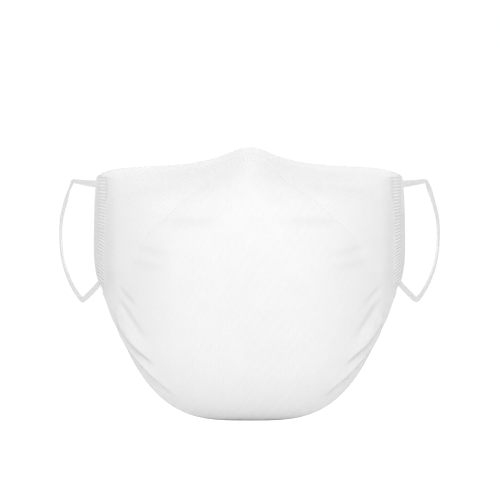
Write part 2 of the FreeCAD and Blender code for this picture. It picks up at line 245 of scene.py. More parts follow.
@dataclass
class MaskForm:
    """The cup-shaped face that all sheets follow, with two coordinates.

    Across runs from -1 to 1 between the side edges; down runs from 0 at the top edge to 1 at the chin.
    """

    mask_width: float = 149.2
    mask_depth: float = 57.0
    top_height: float = 39.0
    chin_drop: float = 90.5
    side_edge_fan: float = 0.35
    nose_rise: float = 9.5
    nose_rise_width: float = 16.0
    nose_projection: float = 10.0
    nose_projection_width: float = 24.0
    nose_tip: float = 0.24
    nose_end: float = 0.48
    top_fullness: tuple[float, float] = (2.8, 2.8)
    chin_fullness: tuple[float, float] = (4.4, 3.5)
    corner_fullness: tuple[float, float] = (0.6, 9.0)
    corner_depth: float = 0.14
    seam_reach: tuple[float, float] = (62.0, 69.5)      # where the painted shade beside the side seams starts and reaches full strength
    seam_end: tuple[float, float] = (-34.0, -24.0)      # heights over which that dies away downwards
    side_insets: tuple[tuple[float, float], ...] = (
        (1.4, 26.0), (0.4, 15.0), (0.0, 0.0), (0.0, -12.0), (0.8, -20.0), (2.6, -26.0),
    )
    centre_setbacks: tuple[tuple[float, float], ...] = (
        (28.0, 1.0), (13.0, 0.68), (3.0, 0.31), (0.0, -0.066), (1.0, -0.343),
        (5.0, -0.641), (11.5, -0.862), (23.0, -1.0), (38.0, -0.961),
    )
    creases: tuple[Crease, ...] = ()
    slope_step: float = 0.002
    walk_steps: int = 24
    map_count: int = 161            # rows and columns of the map from the front view to the form
    run_count: int = 400            # stations at which distances along an edge are taken
    _lines: list[tuple[Crease, Array]] = field(default_factory=list, init=False)

    def __post_init__(self) -> None:
        """Fit the two guide curves and lay the creases on the form."""
        half = 0.5 * self.mask_width
        self.side_edge = SmoothCurve([(half - inset, 0.0, height) for inset, height in self.side_insets])
        self.centre_line = SmoothCurve([
            (0.0, setback - self.mask_depth, share * (self.top_height if share > 0.0 else self.chin_drop))
            for setback, share in self.centre_setbacks
        ])
        across, down = np.meshgrid(np.linspace(0.0, 1.0, self.map_count), np.linspace(0.0, 0.97, self.map_count))
        self._map_places = np.stack([across.ravel(), down.ravel()], axis=1)
        self._map_points = self.form(across.ravel(), down.ravel())
        self._lines = [(crease, self.lifted(crease.line)) for crease in self.creases]

    def place_at(self, x: float, height: float) -> tuple[float, float]:
        """Across and down of the place that the front view shows at x and height."""
        gap = np.hypot(self._map_points[:, 0] - abs(x), self._map_points[:, 2] - height)
        near = np.argsort(gap)[:4]
        weight = 1.0 / (gap[near] + 1e-6)
        across, down = (self._map_places[near] * weight[:, None]).sum(0) / weight.sum()
        return math.copysign(across, x), down

    def places_along(self, line: Sequence[Sequence[float]], spacing: float = 2.0) -> Array:
        """Places on the form along a smooth front-view line.

        Args:
            line: (x, height) points.
            spacing: distance between places in the front view.

        Returns:
            An array of (across, down) pairs.
        """
        curve = SmoothCurve(line)
        count = max(4, int(curve.knots[-1] / spacing))
        places = np.array([self.place_at(x, height) for x, height in curve(np.linspace(0.0, 1.0, count))])
        for _ in range(2):
            places[1:-1] = 0.25 * places[:-2] + 0.5 * places[1:-1] + 0.25 * places[2:]
        return places

    def lifted(self, line: Sequence[Sequence[float]]) -> Array:
        """A front-view line as points on the form."""
        places = self.places_along(line)
        return self.form(places[:, 0], places[:, 1])

    def _fullness(self, down: Array, direction: int) -> Array:
        """Exponent of a row's arch, forwards (direction 0) or downwards (direction 1)."""
        top, chin = self.top_fullness[direction], self.chin_fullness[direction]
        corner = self.corner_fullness[direction] * self._fade(down / self.corner_depth)
        return top + (chin - top) * down * down + corner

    @staticmethod
    def _fade(share: Array) -> Array:
        """Fall smoothly from 1 at share 0 to 0 at share 1 and beyond."""
        return 0.5 + 0.5 * np.cos(np.pi * np.minimum(share, 1.0))

    @staticmethod
    def _ridge(x: Array, side: Array, width: float) -> Array:
        """Rounded ridge of height 1 at x = 0 that runs out at the side edges."""
        foot = 1.0 / (1.0 + (side / width) ** 2)
        return (1.0 / (1.0 + (x / width) ** 2) - foot) / (1.0 - foot)

    def form(self, across: Array, down: Array) -> Array:
        """Points of the smooth form, which runs on straight past the top and chin edges."""
        across, down = np.broadcast_arrays(np.asarray(across, float), np.asarray(down, float))
        inside = np.clip(down, 0.0, 1.0)
        point = self._form_inside(across, inside)
        beyond = down - inside
        if np.any(beyond):
            mirrored = self._form_inside(across, np.clip(inside - beyond, 0.0, 1.0))
            point = np.where((beyond != 0.0)[..., None], 2.0 * point - mirrored, point)
        return point

    def _form_inside(self, across: Array, down: Array) -> Array:
        """Points of the smooth form between its top and chin edges."""
        side = self.side_edge(down * (1.0 + self.side_edge_fan * (1.0 - down)))
        centre = self.centre_line(down)
        forward = 1.0 - np.abs(across) ** self._fullness(down, 0)
        drop = 1.0 - np.abs(across) ** self._fullness(down, 1)
        x = across * side[..., 0]
        projection = self.nose_projection * self._fade(down / self.nose_end)
        rise = self.nose_rise * self._fade(down / self.nose_tip)
        wide = self._ridge(x, side[..., 0], self.nose_projection_width)
        narrow = self._ridge(x, side[..., 0], self.nose_rise_width)
        y = (centre[..., 1] + projection) * forward - projection * wide
        z = side[..., 2] + (centre[..., 2] - rise - side[..., 2]) * drop + rise * narrow
        return np.stack([x, y, z], axis=-1)

    def slopes(self, across: Array, down: Array) -> tuple[Array, Array]:
        """Change of the form for a unit of across and for a unit of down."""
        step = self.slope_step
        row = self.form(across + step, down) - self.form(across - step, down)
        column = self.form(across, down + step) - self.form(across, down - step)
        return row / (2.0 * step), column / (2.0 * step)

    def normals(self, across: Array, down: Array) -> Array:
        """Unit normals away from the wearer."""
        row, column = self.slopes(across, down)
        return unit(np.cross(column, row))

    def relief(self, points: Array) -> Array:
        """Height of all creases at points of the form."""
        return self._over_creases(points, Crease.height)

    def shadows(self, points: Array) -> Array:
        """Painted shadow of all creases at points of the form, from 0 to 1."""
        return np.clip(self._over_creases(points, Crease.shadow), 0.0, 1.0)

    def seam_shade(self, points: Array) -> Array:
        """Painted shade beside the side seams, from 0 to 1."""
        return smoothstep(*self.seam_reach, np.abs(points[..., 0])) * smoothstep(*self.seam_end, points[..., 2])

    def _over_creases(self, points: Array, effect: Callable[[Crease, Array, Array], Array]) -> Array:
        """Sum of one effect of every crease at points of the form."""
        flat = points.reshape(-1, 3).copy()
        flat[:, 0] = np.abs(flat[:, 0])
        total = np.zeros(len(flat))
        for crease, line in self._lines:
            total += effect(crease, flat, line)
        return total.reshape(points.shape[:-1])

    def sheet(self, across: Array, down: Array, depth: Any) -> Array:
        """Points at a depth behind the outer face, creases included.

        Args:
            across: places from side edge to side edge.
            down: places from the top edge to the chin edge.
            depth: distance behind the outer face, one for all or one for each place.

        Returns:
            The points, in millimetres.
        """
        points = self.form(across, down)
        lift = self.relief(points) - np.asarray(depth, float)
        return points + self.normals(across, down) * lift[..., None]

    def walk(self, edge: Edge, across: Array, down: Array, distance: Array) -> tuple[Array, Array]:
        """Places inside an edge, reached by walking over the form square to it.

        Args:
            edge: the edge that the walk starts from.
            across: across values of the starts.
            down: down values of the starts.
            distance: how far each walk goes.

        Returns:
            Across and down of the places.
        """
        across, down, distance = (np.array(a, float) for a in np.broadcast_arrays(across, down, distance))
        step = distance / self.walk_steps
        for _ in range(self.walk_steps):
            row, column = self.slopes(across, down)
            mixed = (row * column).sum(-1)
            if edge is Edge.SIDE:
                turn = (-np.ones_like(mixed), mixed / (column * column).sum(-1))
            else:
                sign = 1.0 if edge is Edge.TOP else -1.0
                turn = (-sign * mixed / (row * row).sum(-1), sign * np.ones_like(mixed))
            length = np.linalg.norm(row * turn[0][..., None] + column * turn[1][..., None], axis=-1)
            across += turn[0] * step / length
            down += turn[1] * step / length
        return across, down

    def edge_frames(self, edge: Edge, across: Array, down: Array) -> tuple[Array, Array, Array]:
        """Points on an edge, directions out past it, and outward normals."""
        row, column = self.slopes(across, down)
        outward = unit(np.cross(column, row))
        if edge is Edge.SIDE:
            past, inward = np.cross(outward, column), -row
        else:
            past, inward = np.cross(outward, row), column if edge is Edge.TOP else -column
        past = unit(past)
        past = np.where(((past * inward).sum(-1) > 0.0)[..., None], -past, past)
        return self.form(across, down), past, outward

    def across_from_corner(self, down: float, distance: float) -> float:
        """Across value at a distance from the right corner, along a row."""
        rows = np.linspace(1.0, 0.0, self.run_count)
        return float(np.interp(distance, runs_along(self.form(rows, np.full_like(rows, down))), rows))

    def side_stations(self) -> Array:
        """Even down values along a side edge."""
        return np.linspace(0.0, 1.0, self.run_count)


# ----------------------------------------------------------------------------------------------------
# Meshes
# ----------------------------------------------------------------------------------------------------


def bunched(limit: float, count: int, spread: float = 0.7) -> Array:
    """Values from -limit to limit, closer together near the ends."""
    return limit * np.sin(spread * np.linspace(-1.0, 1.0, count)) / math.sin(spread)


def cloth_map(points: Array) -> Array:
    """Distances over a grid of points, from its middle column and its first row.

    Args:
        points: a grid of points, columns first.

    Returns:
        A grid of (distance along the row, distance down the column, 0), in millimetres.
    """
    along = np.linalg.norm(np.diff(points, axis=0), axis=-1).cumsum(0)
    along = np.concatenate([np.zeros_like(along[:1]), along])
    along -= along[len(along) // 2]
    fall = np.linalg.norm(np.diff(points, axis=1), axis=-1).cumsum(1)
    fall = np.concatenate([np.zeros_like(fall[:, :1]), fall], axis=1)
    return np.stack([along, fall, np.zeros_like(fall)], axis=-1)


def grid_faces(columns: int, rows: int, offset: int, flipped: bool) -> Array:
    """Quads over a grid of vertices."""
    index = offset + np.arange(columns * rows).reshape(columns, rows)
    quads = np.stack([index[:-1, :-1], index[1:, :-1], index[1:, 1:], index[:-1, 1:]], axis=-1).reshape(-1, 4)
    return quads[:, ::-1] if flipped else quads


def linked(name: str, data: Any) -> bpy.types.Object:
    """Object that holds the data, linked to the scene."""
    made = bpy.data.objects.new(name, data)
    bpy.context.scene.collection.objects.link(made)
    return made


def facing_out(points: Array, *kinds: Array) -> list[list[int]]:
    """Faces of a closed shell, all turned over if they point inwards.

    Args:
        points: the vertices.
        *kinds: arrays of faces as vertex numbers, each with its own number of corners.

    Returns:
        The faces of all kinds in one list.
    """
    volume = 0.0
    for faces in kinds:
        for k in range(1, faces.shape[1] - 1):
            first, second, third = (points[faces[:, corner]] for corner in (0, k, k + 1))
            volume += np.einsum("ij,ij->", first, np.cross(second, third))
    return [face for faces in kinds for face in (faces[:, ::-1] if volume < 0.0 else faces).tolist()]


def mesh_object(name: str, points: Array, faces: list[list[int]], marks: dict[str, Array]) -> bpy.types.Object:
    """Smooth mesh object in metres from points in millimetres.

    Args:
        name: the object's name.
        points: the vertices.
        faces: vertex numbers of each face.
        marks: vertex attributes by name, of one number or three for each vertex.

    Returns:
        The object.
    """
    mesh = bpy.data.meshes.new(name)
    mesh.from_pydata((points * MM).tolist(), [], faces)
    for mark, values in marks.items():
        kind = "FLOAT" if values.ndim == 1 else "FLOAT_VECTOR"
        layer = mesh.attributes.new(mark, kind, "POINT")
        layer.data.foreach_set("value" if kind == "FLOAT" else "vector", values.astype(np.float32).ravel())
    mesh.polygons.foreach_set("use_smooth", [True] * len(mesh.polygons))
    mesh.update()
    return linked(name, mesh)


def closed_shell(name: str, front: Array, back: Array, marks: Optional[dict[str, Array]] = None) -> bpy.types.Object:
    """Closed sheet between two facing grids of points.

    Args:
        name: the object's name.
        front: the grid that faces outwards.
        back: the grid behind it, with as many points.
        marks: one value for each of the front grid's points, given to both grids.

    Returns:
        The sheet, with its normals outwards and its cloth coordinates as the attribute "cloth".
    """
    columns, rows = front.shape[:2]
    count = columns * rows
    index = np.arange(count).reshape(columns, rows)
    rim = np.concatenate([index[:-1, 0], index[-1, :-1], index[:0:-1, -1], index[0, :0:-1]])
    after = np.roll(rim, -1)
    sides = np.stack([rim, rim + count, after + count, after], axis=-1)
    faces = np.concatenate([
        grid_faces(columns, rows, 0, False), grid_faces(columns, rows, count, True), sides,
    ])
    points = np.concatenate([front.reshape(-1, 3), back.reshape(-1, 3)])
    cloth = cloth_map(front).reshape(-1, 3)
    layers = {"cloth": np.concatenate([cloth, cloth])}
    for mark, values in (marks or {}).items():
        layers[mark] = np.tile(values.reshape(count), 2)
    return mesh_object(name, points, facing_out(points, faces), layers)


def tube(name: str, rings: Array, cloth: Array) -> bpy.types.Object:
    """Closed tube through rings of points, with flat ends.

    Args:
        name: the object's name.
        rings: rings of points along the tube.
        cloth: cloth coordinates of the points.

    Returns:
        The tube, with its normals outwards.
    """
    count, sides = rings.shape[:2]
    index = np.arange(count * sides).reshape(count, sides)
    turned = np.roll(index, -1, axis=1)
    quads = np.stack([index[:-1], turned[:-1], turned[1:], index[1:]], axis=-1).reshape(-1, 4)
    points = np.concatenate([rings.reshape(-1, 3), [rings[0].mean(0), rings[-1].mean(0)]])
    layers = np.concatenate([cloth.reshape(-1, 3), [cloth[0].mean(0), cloth[-1].mean(0)]])
    hubs = np.full((2, sides), count * sides) + [[0], [1]]
    fans = np.concatenate([
        np.stack([hubs[0], turned[0], index[0]], axis=-1), np.stack([hubs[1], index[-1], turned[-1]], axis=-1),
    ])
    return mesh_object(name, points, facing_out(points, quads, fans), {"cloth": layers})


def mirror_mesh(piece: bpy.types.Object) -> None:
    """Mirror a piece's mesh in x, with its faces turned to stay outwards."""
    mesh = piece.data
    points = np.empty(len(mesh.vertices) * 3)
    mesh.vertices.foreach_get("co", points)
    points[0::3] *= -1.0
    mesh.vertices.foreach_set("co", points)
    mesh.flip_normals()
    mesh.update()


def guide_object(name: str, lines: Sequence[Array], normals: Sequence[Array]) -> bpy.types.Object:
    """Loose edges for a node tree to follow, with the surface's normal at each point.

    Args:
        name: the object's name.
        lines: the polylines, in millimetres.
        normals: the surface's normals at their points.

    Returns:
        The object.
    """
    points = np.concatenate(lines)
    edges, start = [], 0
    for line in lines:
        edges += [(start + i, start + i + 1) for i in range(len(line) - 1)]
        start += len(line)
    mesh = bpy.data.meshes.new(name)
    mesh.from_pydata((points * MM).tolist(), edges, [])
    layer = mesh.attributes.new("surface_normal", "FLOAT_VECTOR", "POINT")
    layer.data.foreach_set("vector", np.concatenate(normals).astype(np.float32).ravel())
    return linked(name, mesh)


# ----------------------------------------------------------------------------------------------------
# Node trees for what repeats
# ----------------------------------------------------------------------------------------------------


class TreeMaker:
    """Short way to place and join the nodes of one tree."""

    def __init__(self, tree: bpy.types.NodeTree) -> None:
        """Start on an empty tree."""
        self.tree = tree

    def node(self, kind: str, settings: Optional[dict[str, Any]] = None, **sockets: Any) -> bpy.types.Node:
        """Add a node.

        Args:
            kind: the node's type.
            settings: the node's own properties.
            **sockets: values or output sockets for its inputs, named as the inputs are, with _ for a
                space, or in0, in1 and so on by number.

        Returns:
            The node.
        """
        made = self.tree.nodes.new(kind)
        for key, value in (settings or {}).items():
            setattr(made, key, value)
        for key, value in sockets.items():
            by_number = key.startswith("in") and key[2:].isdigit()
            socket = made.inputs[int(key[2:])] if by_number else made.inputs[key.replace("_", " ")]
            if isinstance(value, bpy.types.NodeSocket):
                self.tree.links.new(value, socket)
            else:
                socket.default_value = value
        return made

    def join(self, output: bpy.types.NodeSocket, socket: bpy.types.NodeSocket) -> None:
        """Link an output to an input."""
        self.tree.links.new(output, socket)

    def math(self, operation: str, *values: Any) -> bpy.types.NodeSocket:
        """Output of a Math node."""
        sockets = {f"in{i}": value for i, value in enumerate(values)}
        return self.node("ShaderNodeMath", {"operation": operation}, **sockets).outputs[0]

    def ramp(self, value: Any, low: Any, high: Any) -> bpy.types.NodeSocket:
        """Smooth rise from 0 at low to 1 at high."""
        made = self.node("ShaderNodeMapRange", {"interpolation_type": "SMOOTHSTEP", "clamp": True},
                         in0=value, in1=low, in2=high, in3=0.0, in4=1.0)
        return made.outputs[0]

    def varied(self, seed: Any, amount: Any) -> bpy.types.NodeSocket:
        """Random factor round 1, at most the amount away from it."""
        spread = self.node("FunctionNodeRandomValue", {"data_type": "FLOAT"}, in2=-1.0, in3=1.0, Seed=seed)
        return self.math("ADD", 1.0, self.math("MULTIPLY", spread.outputs[1], amount))

    def mark(self, name: str) -> bpy.types.NodeSocket:
        """Value of a vertex attribute."""
        return self.node("ShaderNodeAttribute", {"attribute_name": name}).outputs["Fac"]

    def group(self, tree: bpy.types.NodeTree, **sockets: Any) -> bpy.types.Node:
        """Add a shader node group."""
        return self.node("ShaderNodeGroup", {"node_tree": tree}, **sockets)


NewGroup = tuple[bpy.types.NodeTree, TreeMaker, bpy.types.Node, bpy.types.Node]


def new_group(name: str, kind: str, inputs: Iterable[tuple[str, str, Any]],
              outputs: Iterable[tuple[str, str]]) -> NewGroup:
    """Empty node group with named sockets.

    Args:
        name: the group's name.
        kind: "ShaderNodeTree" or "GeometryNodeTree".
        inputs: name, socket type and default of each input.
        outputs: name and socket type of each output.

    Returns:
        The tree, its maker, and its input and output nodes.
    """
    tree = bpy.data.node_groups.new(name, kind)
    for title, socket, default in inputs:
        made = tree.interface.new_socket(title, in_out="INPUT", socket_type=socket)
        if default is not None:
            made.default_value = default
    for title, socket in outputs:
        tree.interface.new_socket(title, in_out="OUTPUT", socket_type=socket)
    return tree, TreeMaker(tree), tree.nodes.new("NodeGroupInput"), tree.nodes.new("NodeGroupOutput")


def end_geometry(maker: TreeMaker, shape: bpy.types.NodeSocket, given: bpy.types.Node,
                 result: bpy.types.Node) -> None:
    """Turn a tree's shape into plain smooth geometry in its finish, and put it out.

    Args:
        maker: the tree's maker.
        shape: the geometry so far.
        given: the tree's input node.
        result: the tree's output node.
    """
    real = maker.node("GeometryNodeRealizeInstances", Geometry=shape)
    smooth = maker.node("GeometryNodeSetShadeSmooth", Geometry=real.outputs[0])
    finished = maker.node("GeometryNodeSetMaterial", Geometry=smooth.outputs[0], Material=given.outputs["Finish"])
    maker.join(finished.outputs[0], result.inputs[0])


def rib_tree() -> bpy.types.NodeTree:
    """Geometry tree that sweeps a low rounded bar along each guide line."""
    tree, maker, given, result = new_group("pressed_ribs", "GeometryNodeTree", [
        ("Guides", "NodeSocketGeometry", None), ("Rib Width", "NodeSocketFloat", 0.0008),
        ("Rib Height", "NodeSocketFloat", 0.0003), ("Points", "NodeSocketInt", 11),
        ("Sides", "NodeSocketInt", 10), ("Wobble", "NodeSocketFloat", 0.08), ("Seed", "NodeSocketInt", 7),
        ("Finish", "NodeSocketMaterial", None),
    ], [("Ribs", "NodeSocketGeometry")])
    curves = maker.node("GeometryNodeMeshToCurve", in0=given.outputs["Guides"])
    even = maker.node("GeometryNodeResampleCurve", Curve=curves.outputs[0], Count=given.outputs["Points"])
    normal = maker.node("GeometryNodeInputNamedAttribute", {"data_type": "FLOAT_VECTOR"}, Name="surface_normal")
    faced = maker.node("GeometryNodeSetCurveNormal", {"mode": "FREE"}, Curve=even.outputs[0],
                       Normal=normal.outputs["Attribute"])
    place = maker.node("GeometryNodeSplineParameter").outputs["Factor"]
    ends = maker.math("POWER", maker.math("SINE", maker.math("MULTIPLY", place, math.pi)), 0.35)
    wobble = maker.varied(given.outputs["Seed"], given.outputs["Wobble"])
    radius = maker.math("MULTIPLY", maker.math("ADD", ends, 0.05), wobble)
    sized = maker.node("GeometryNodeSetCurveRadius", Curve=faced.outputs[0], Radius=radius)
    circle = maker.node("GeometryNodeCurvePrimitiveCircle", Resolution=given.outputs["Sides"], Radius=0.5)
    scale = maker.node("ShaderNodeCombineXYZ", X=given.outputs["Rib Height"], Y=given.outputs["Rib Width"], Z=1.0)
    profile = maker.node("GeometryNodeTransform", Geometry=circle.outputs[0], Scale=scale.outputs[0])
    swept = maker.node("GeometryNodeCurveToMesh", Curve=sized.outputs[0], Profile_Curve=profile.outputs[0],
                       Scale=radius, Fill_Caps=True)
    end_geometry(maker, swept.outputs[0], given, result)
    return tree


def dot_tree() -> bpy.types.NodeTree:
    """Geometry tree that lays flat weld points along each guide line."""
    tree, maker, given, result = new_group("weld_points", "GeometryNodeTree", [
        ("Guides", "NodeSocketGeometry", None), ("Spacing", "NodeSocketFloat", 0.002),
        ("Dot Length", "NodeSocketFloat", 0.0012), ("Dot Width", "NodeSocketFloat", 0.0006),
        ("Dot Height", "NodeSocketFloat", 0.0002), ("Variation", "NodeSocketFloat", 0.15),
        ("Seed", "NodeSocketInt", 11), ("Finish", "NodeSocketMaterial", None),
    ], [("Dots", "NodeSocketGeometry")])
    curves = maker.node("GeometryNodeMeshToCurve", in0=given.outputs["Guides"])
    even = maker.node("GeometryNodeResampleCurve", {"mode": "LENGTH"}, Curve=curves.outputs[0],
                      Length=given.outputs["Spacing"])
    normal = maker.node("GeometryNodeInputNamedAttribute", {"data_type": "FLOAT_VECTOR"}, Name="surface_normal")
    tangent = maker.node("GeometryNodeInputTangent")
    upright = maker.node("FunctionNodeAlignRotationToVector", {"axis": "Z"}, Vector=normal.outputs["Attribute"])
    turned = maker.node("FunctionNodeAlignRotationToVector", {"axis": "X", "pivot_axis": "Z"},
                        Rotation=upright.outputs[0], Vector=tangent.outputs[0])
    dot = maker.node("GeometryNodeMeshUVSphere", Segments=10, Rings=6, Radius=0.5)
    vary = maker.varied(given.outputs["Seed"], given.outputs["Variation"])
    scale = maker.node("ShaderNodeCombineXYZ", X=maker.math("MULTIPLY", given.outputs["Dot Length"], vary),
                       Y=maker.math("MULTIPLY", given.outputs["Dot Width"], vary), Z=given.outputs["Dot Height"])
    placed = maker.node("GeometryNodeInstanceOnPoints", Points=even.outputs[0], Instance=dot.outputs[0],
                        Rotation=turned.outputs[0], Scale=scale.outputs[0])
    end_geometry(maker, placed.outputs[0], given, result)
    return tree


def grown(name: str, guides: bpy.types.Object, tree: bpy.types.NodeTree, sizes: dict[str, Any]) -> bpy.types.Object:
    """Plain mesh that a node tree grows on its guides, which are removed.

    Args:
        name: the new object's name.
        guides: the object that the tree reads.
        tree: the geometry tree.
        sizes: the tree's inputs by name.

    Returns:
        The new object, with no modifier.
    """
    modifier = guides.modifiers.new("grow", "NODES")
    modifier.node_group = tree
    for item in tree.interface.items_tree:
        if item.item_type == "SOCKET" and item.in_out == "INPUT" and item.name in sizes:
            modifier[item.identifier] = sizes[item.name]
    evaluated = guides.evaluated_get(bpy.context.evaluated_depsgraph_get())
    mesh = bpy.data.meshes.new_from_object(evaluated)
    mesh.name = name
    bpy.data.objects.remove(guides)
    return linked(name, mesh)


# ----------------------------------------------------------------------------------------------------
# Shared shader effects
# ----------------------------------------------------------------------------------------------------


def stroke_group() -> bpy.types.NodeTree:
    """Shader group: fine parallel strokes across the cloth, broken into dashes."""
    tree, maker, given, result = new_group("cloth_strokes", "ShaderNodeTree", [
        ("Across", "NodeSocketFloat", 0.0), ("Down", "NodeSocketFloat", 0.0), ("Pitch", "NodeSocketFloat", 1.4),
        ("Dash", "NodeSocketFloat", 3.0), ("Lean", "NodeSocketFloat", 0.5),
    ], [("Height", "NodeSocketFloat")])
    across, down, lean = (given.outputs[n] for n in ("Across", "Down", "Lean"))
    turn = maker.math("DIVIDE", 2.0 * math.pi, given.outputs["Pitch"])
    sine, cosine = maker.math("SINE", lean), maker.math("COSINE", lean)
    over = maker.math("ADD", maker.math("MULTIPLY", across, cosine), maker.math("MULTIPLY", down, sine))
    along = maker.math("SUBTRACT", maker.math("MULTIPLY", down, cosine), maker.math("MULTIPLY", across, sine))
    wave = maker.math("SINE", maker.math("MULTIPLY", over, turn))
    step = maker.math("DIVIDE", 2.0 * math.pi, given.outputs["Dash"])
    shift = maker.math("MULTIPLY", maker.math("FLOOR", maker.math("DIVIDE", over, given.outputs["Pitch"])), 1.7)
    dash = maker.math("SINE", maker.math("ADD", maker.math("MULTIPLY", along, step), shift))
    broken = maker.math("MULTIPLY_ADD", dash, 0.5, 0.5)
    maker.join(maker.math("MULTIPLY", wave, broken), result.inputs[0])
    return tree


def bond_group() -> bpy.types.NodeTree:
    """Shader group: staggered grid of small pressed bond points."""
    tree, maker, given, result = new_group("bond_points", "ShaderNodeTree", [
        ("Across", "NodeSocketFloat", 0.0), ("Down", "NodeSocketFloat", 0.0), ("Pitch", "NodeSocketFloat", 1.0),
        ("Size", "NodeSocketFloat", 0.5),
    ], [("Mask", "NodeSocketFloat")])
    turn = maker.math("DIVIDE", math.pi, given.outputs["Pitch"])
    places = [maker.math(way, given.outputs["Across"], given.outputs["Down"]) for way in ("ADD", "SUBTRACT")]
    waves = [maker.math("COSINE", maker.math("MULTIPLY", place, turn)) for place in places]
    peak = maker.math("ABSOLUTE", maker.math("MULTIPLY", *waves))
    low = maker.math("SUBTRACT", 1.0, given.outputs["Size"])
    maker.join(maker.ramp(peak, low, maker.math("ADD", low, 0.3)), result.inputs[0])
    return tree


def fibre_group() -> bpy.types.NodeTree:
    """Shader group: fine crossing fibres and the cloudy thickness of a nonwoven web."""
    tree, maker, given, result = new_group("nonwoven_fibres", "ShaderNodeTree", [
        ("Vector", "NodeSocketVector", None), ("Fibre Scale", "NodeSocketFloat", 2200.0),
        ("Cloud Scale", "NodeSocketFloat", 90.0),
    ], [("Fibres", "NodeSocketFloat"), ("Clouds", "NodeSocketFloat"), ("Mottle", "NodeSocketFloat")])
    layers = []
    for angle in (0.5, 1.6, 2.7):
        turned = maker.node("ShaderNodeMapping", Vector=given.outputs["Vector"], Rotation=(angle, 0.4, angle * 1.3),
                            Scale=(1.0, 0.16, 1.0))
        noise = maker.node("ShaderNodeTexNoise", Vector=turned.outputs[0], Scale=given.outputs["Fibre Scale"],
                           Detail=1.5, Roughness=0.6)
        layers.append(noise.outputs[0])
    total = maker.math("MAXIMUM", maker.math("MAXIMUM", layers[0], layers[1]), layers[2])
    clouds = maker.node("ShaderNodeTexNoise", Vector=given.outputs["Vector"], Scale=given.outputs["Cloud Scale"],
                        Detail=3.0, Roughness=0.55)
    mottle = maker.node("ShaderNodeTexNoise", Vector=given.outputs["Vector"], Detail=2.5, Roughness=0.7,
                        Scale=maker.math("MULTIPLY", given.outputs["Cloud Scale"], 10.0))
    for title, output in (("Fibres", total), ("Clouds", clouds.outputs[0]), ("Mottle", mottle.outputs[0])):
        maker.join(output, result.inputs[title])
    return tree


class Effects:
    """The shader groups that several materials share, each made once."""

    def __init__(self) -> None:
        """Make the groups."""
        self.strokes = stroke_group()
        self.bonds = bond_group()
        self.fibres = fibre_group()


def new_material(name: str) -> tuple[bpy.types.Material, TreeMaker, bpy.types.Node]:
    """Node material, with its maker and its shader."""
    made = bpy.data.materials.new(name)
    made.use_nodes = True
    return made, TreeMaker(made.node_tree), made.node_tree.nodes["Principled BSDF"]


def cloth_places(maker: TreeMaker, effects: Effects) -> tuple[Any, Any, bpy.types.Node]:
    """Distances across and down a piece's cloth in millimetres, and its fibres."""
    cloth = maker.node("ShaderNodeAttribute", {"attribute_name": "cloth"})
    split = maker.node("ShaderNodeSeparateXYZ", Vector=cloth.outputs["Vector"])
    place = maker.node("ShaderNodeTexCoord")
    return split.outputs[0], split.outputs[1], maker.group(effects.fibres, Vector=place.outputs["Object"])


def join_cloth(maker: TreeMaker, shader: bpy.types.Node, colour: Sequence[float], tint: bpy.types.NodeSocket,
               rough: bpy.types.NodeSocket, height: bpy.types.NodeSocket) -> None:
    """Join a cloth's patterns to its shader.

    Args:
        maker: the material's maker.
        shader: the material's shader.
        colour: the cloth's own colour.
        tint: factor on the colour.
        rough: the roughness.
        height: height of the pattern, in metres.
    """
    base = maker.node("ShaderNodeVectorMath", {"operation": "SCALE"}, in0=colour, Scale=tint)
    bump = maker.node("ShaderNodeBump", Strength=1.0, Distance=1.0, Height=height)
    for title, output in (("Base Color", base.outputs[0]), ("Roughness", rough), ("Normal", bump.outputs[0])):
        maker.join(output, shader.inputs[title])


class Weave(Enum):
    """Patterns that a nonwoven sheet can carry."""

    COVER = "cover"
    PLAIN = "plain"
    BONDED = "bonded"
    PRESSED = "pressed"


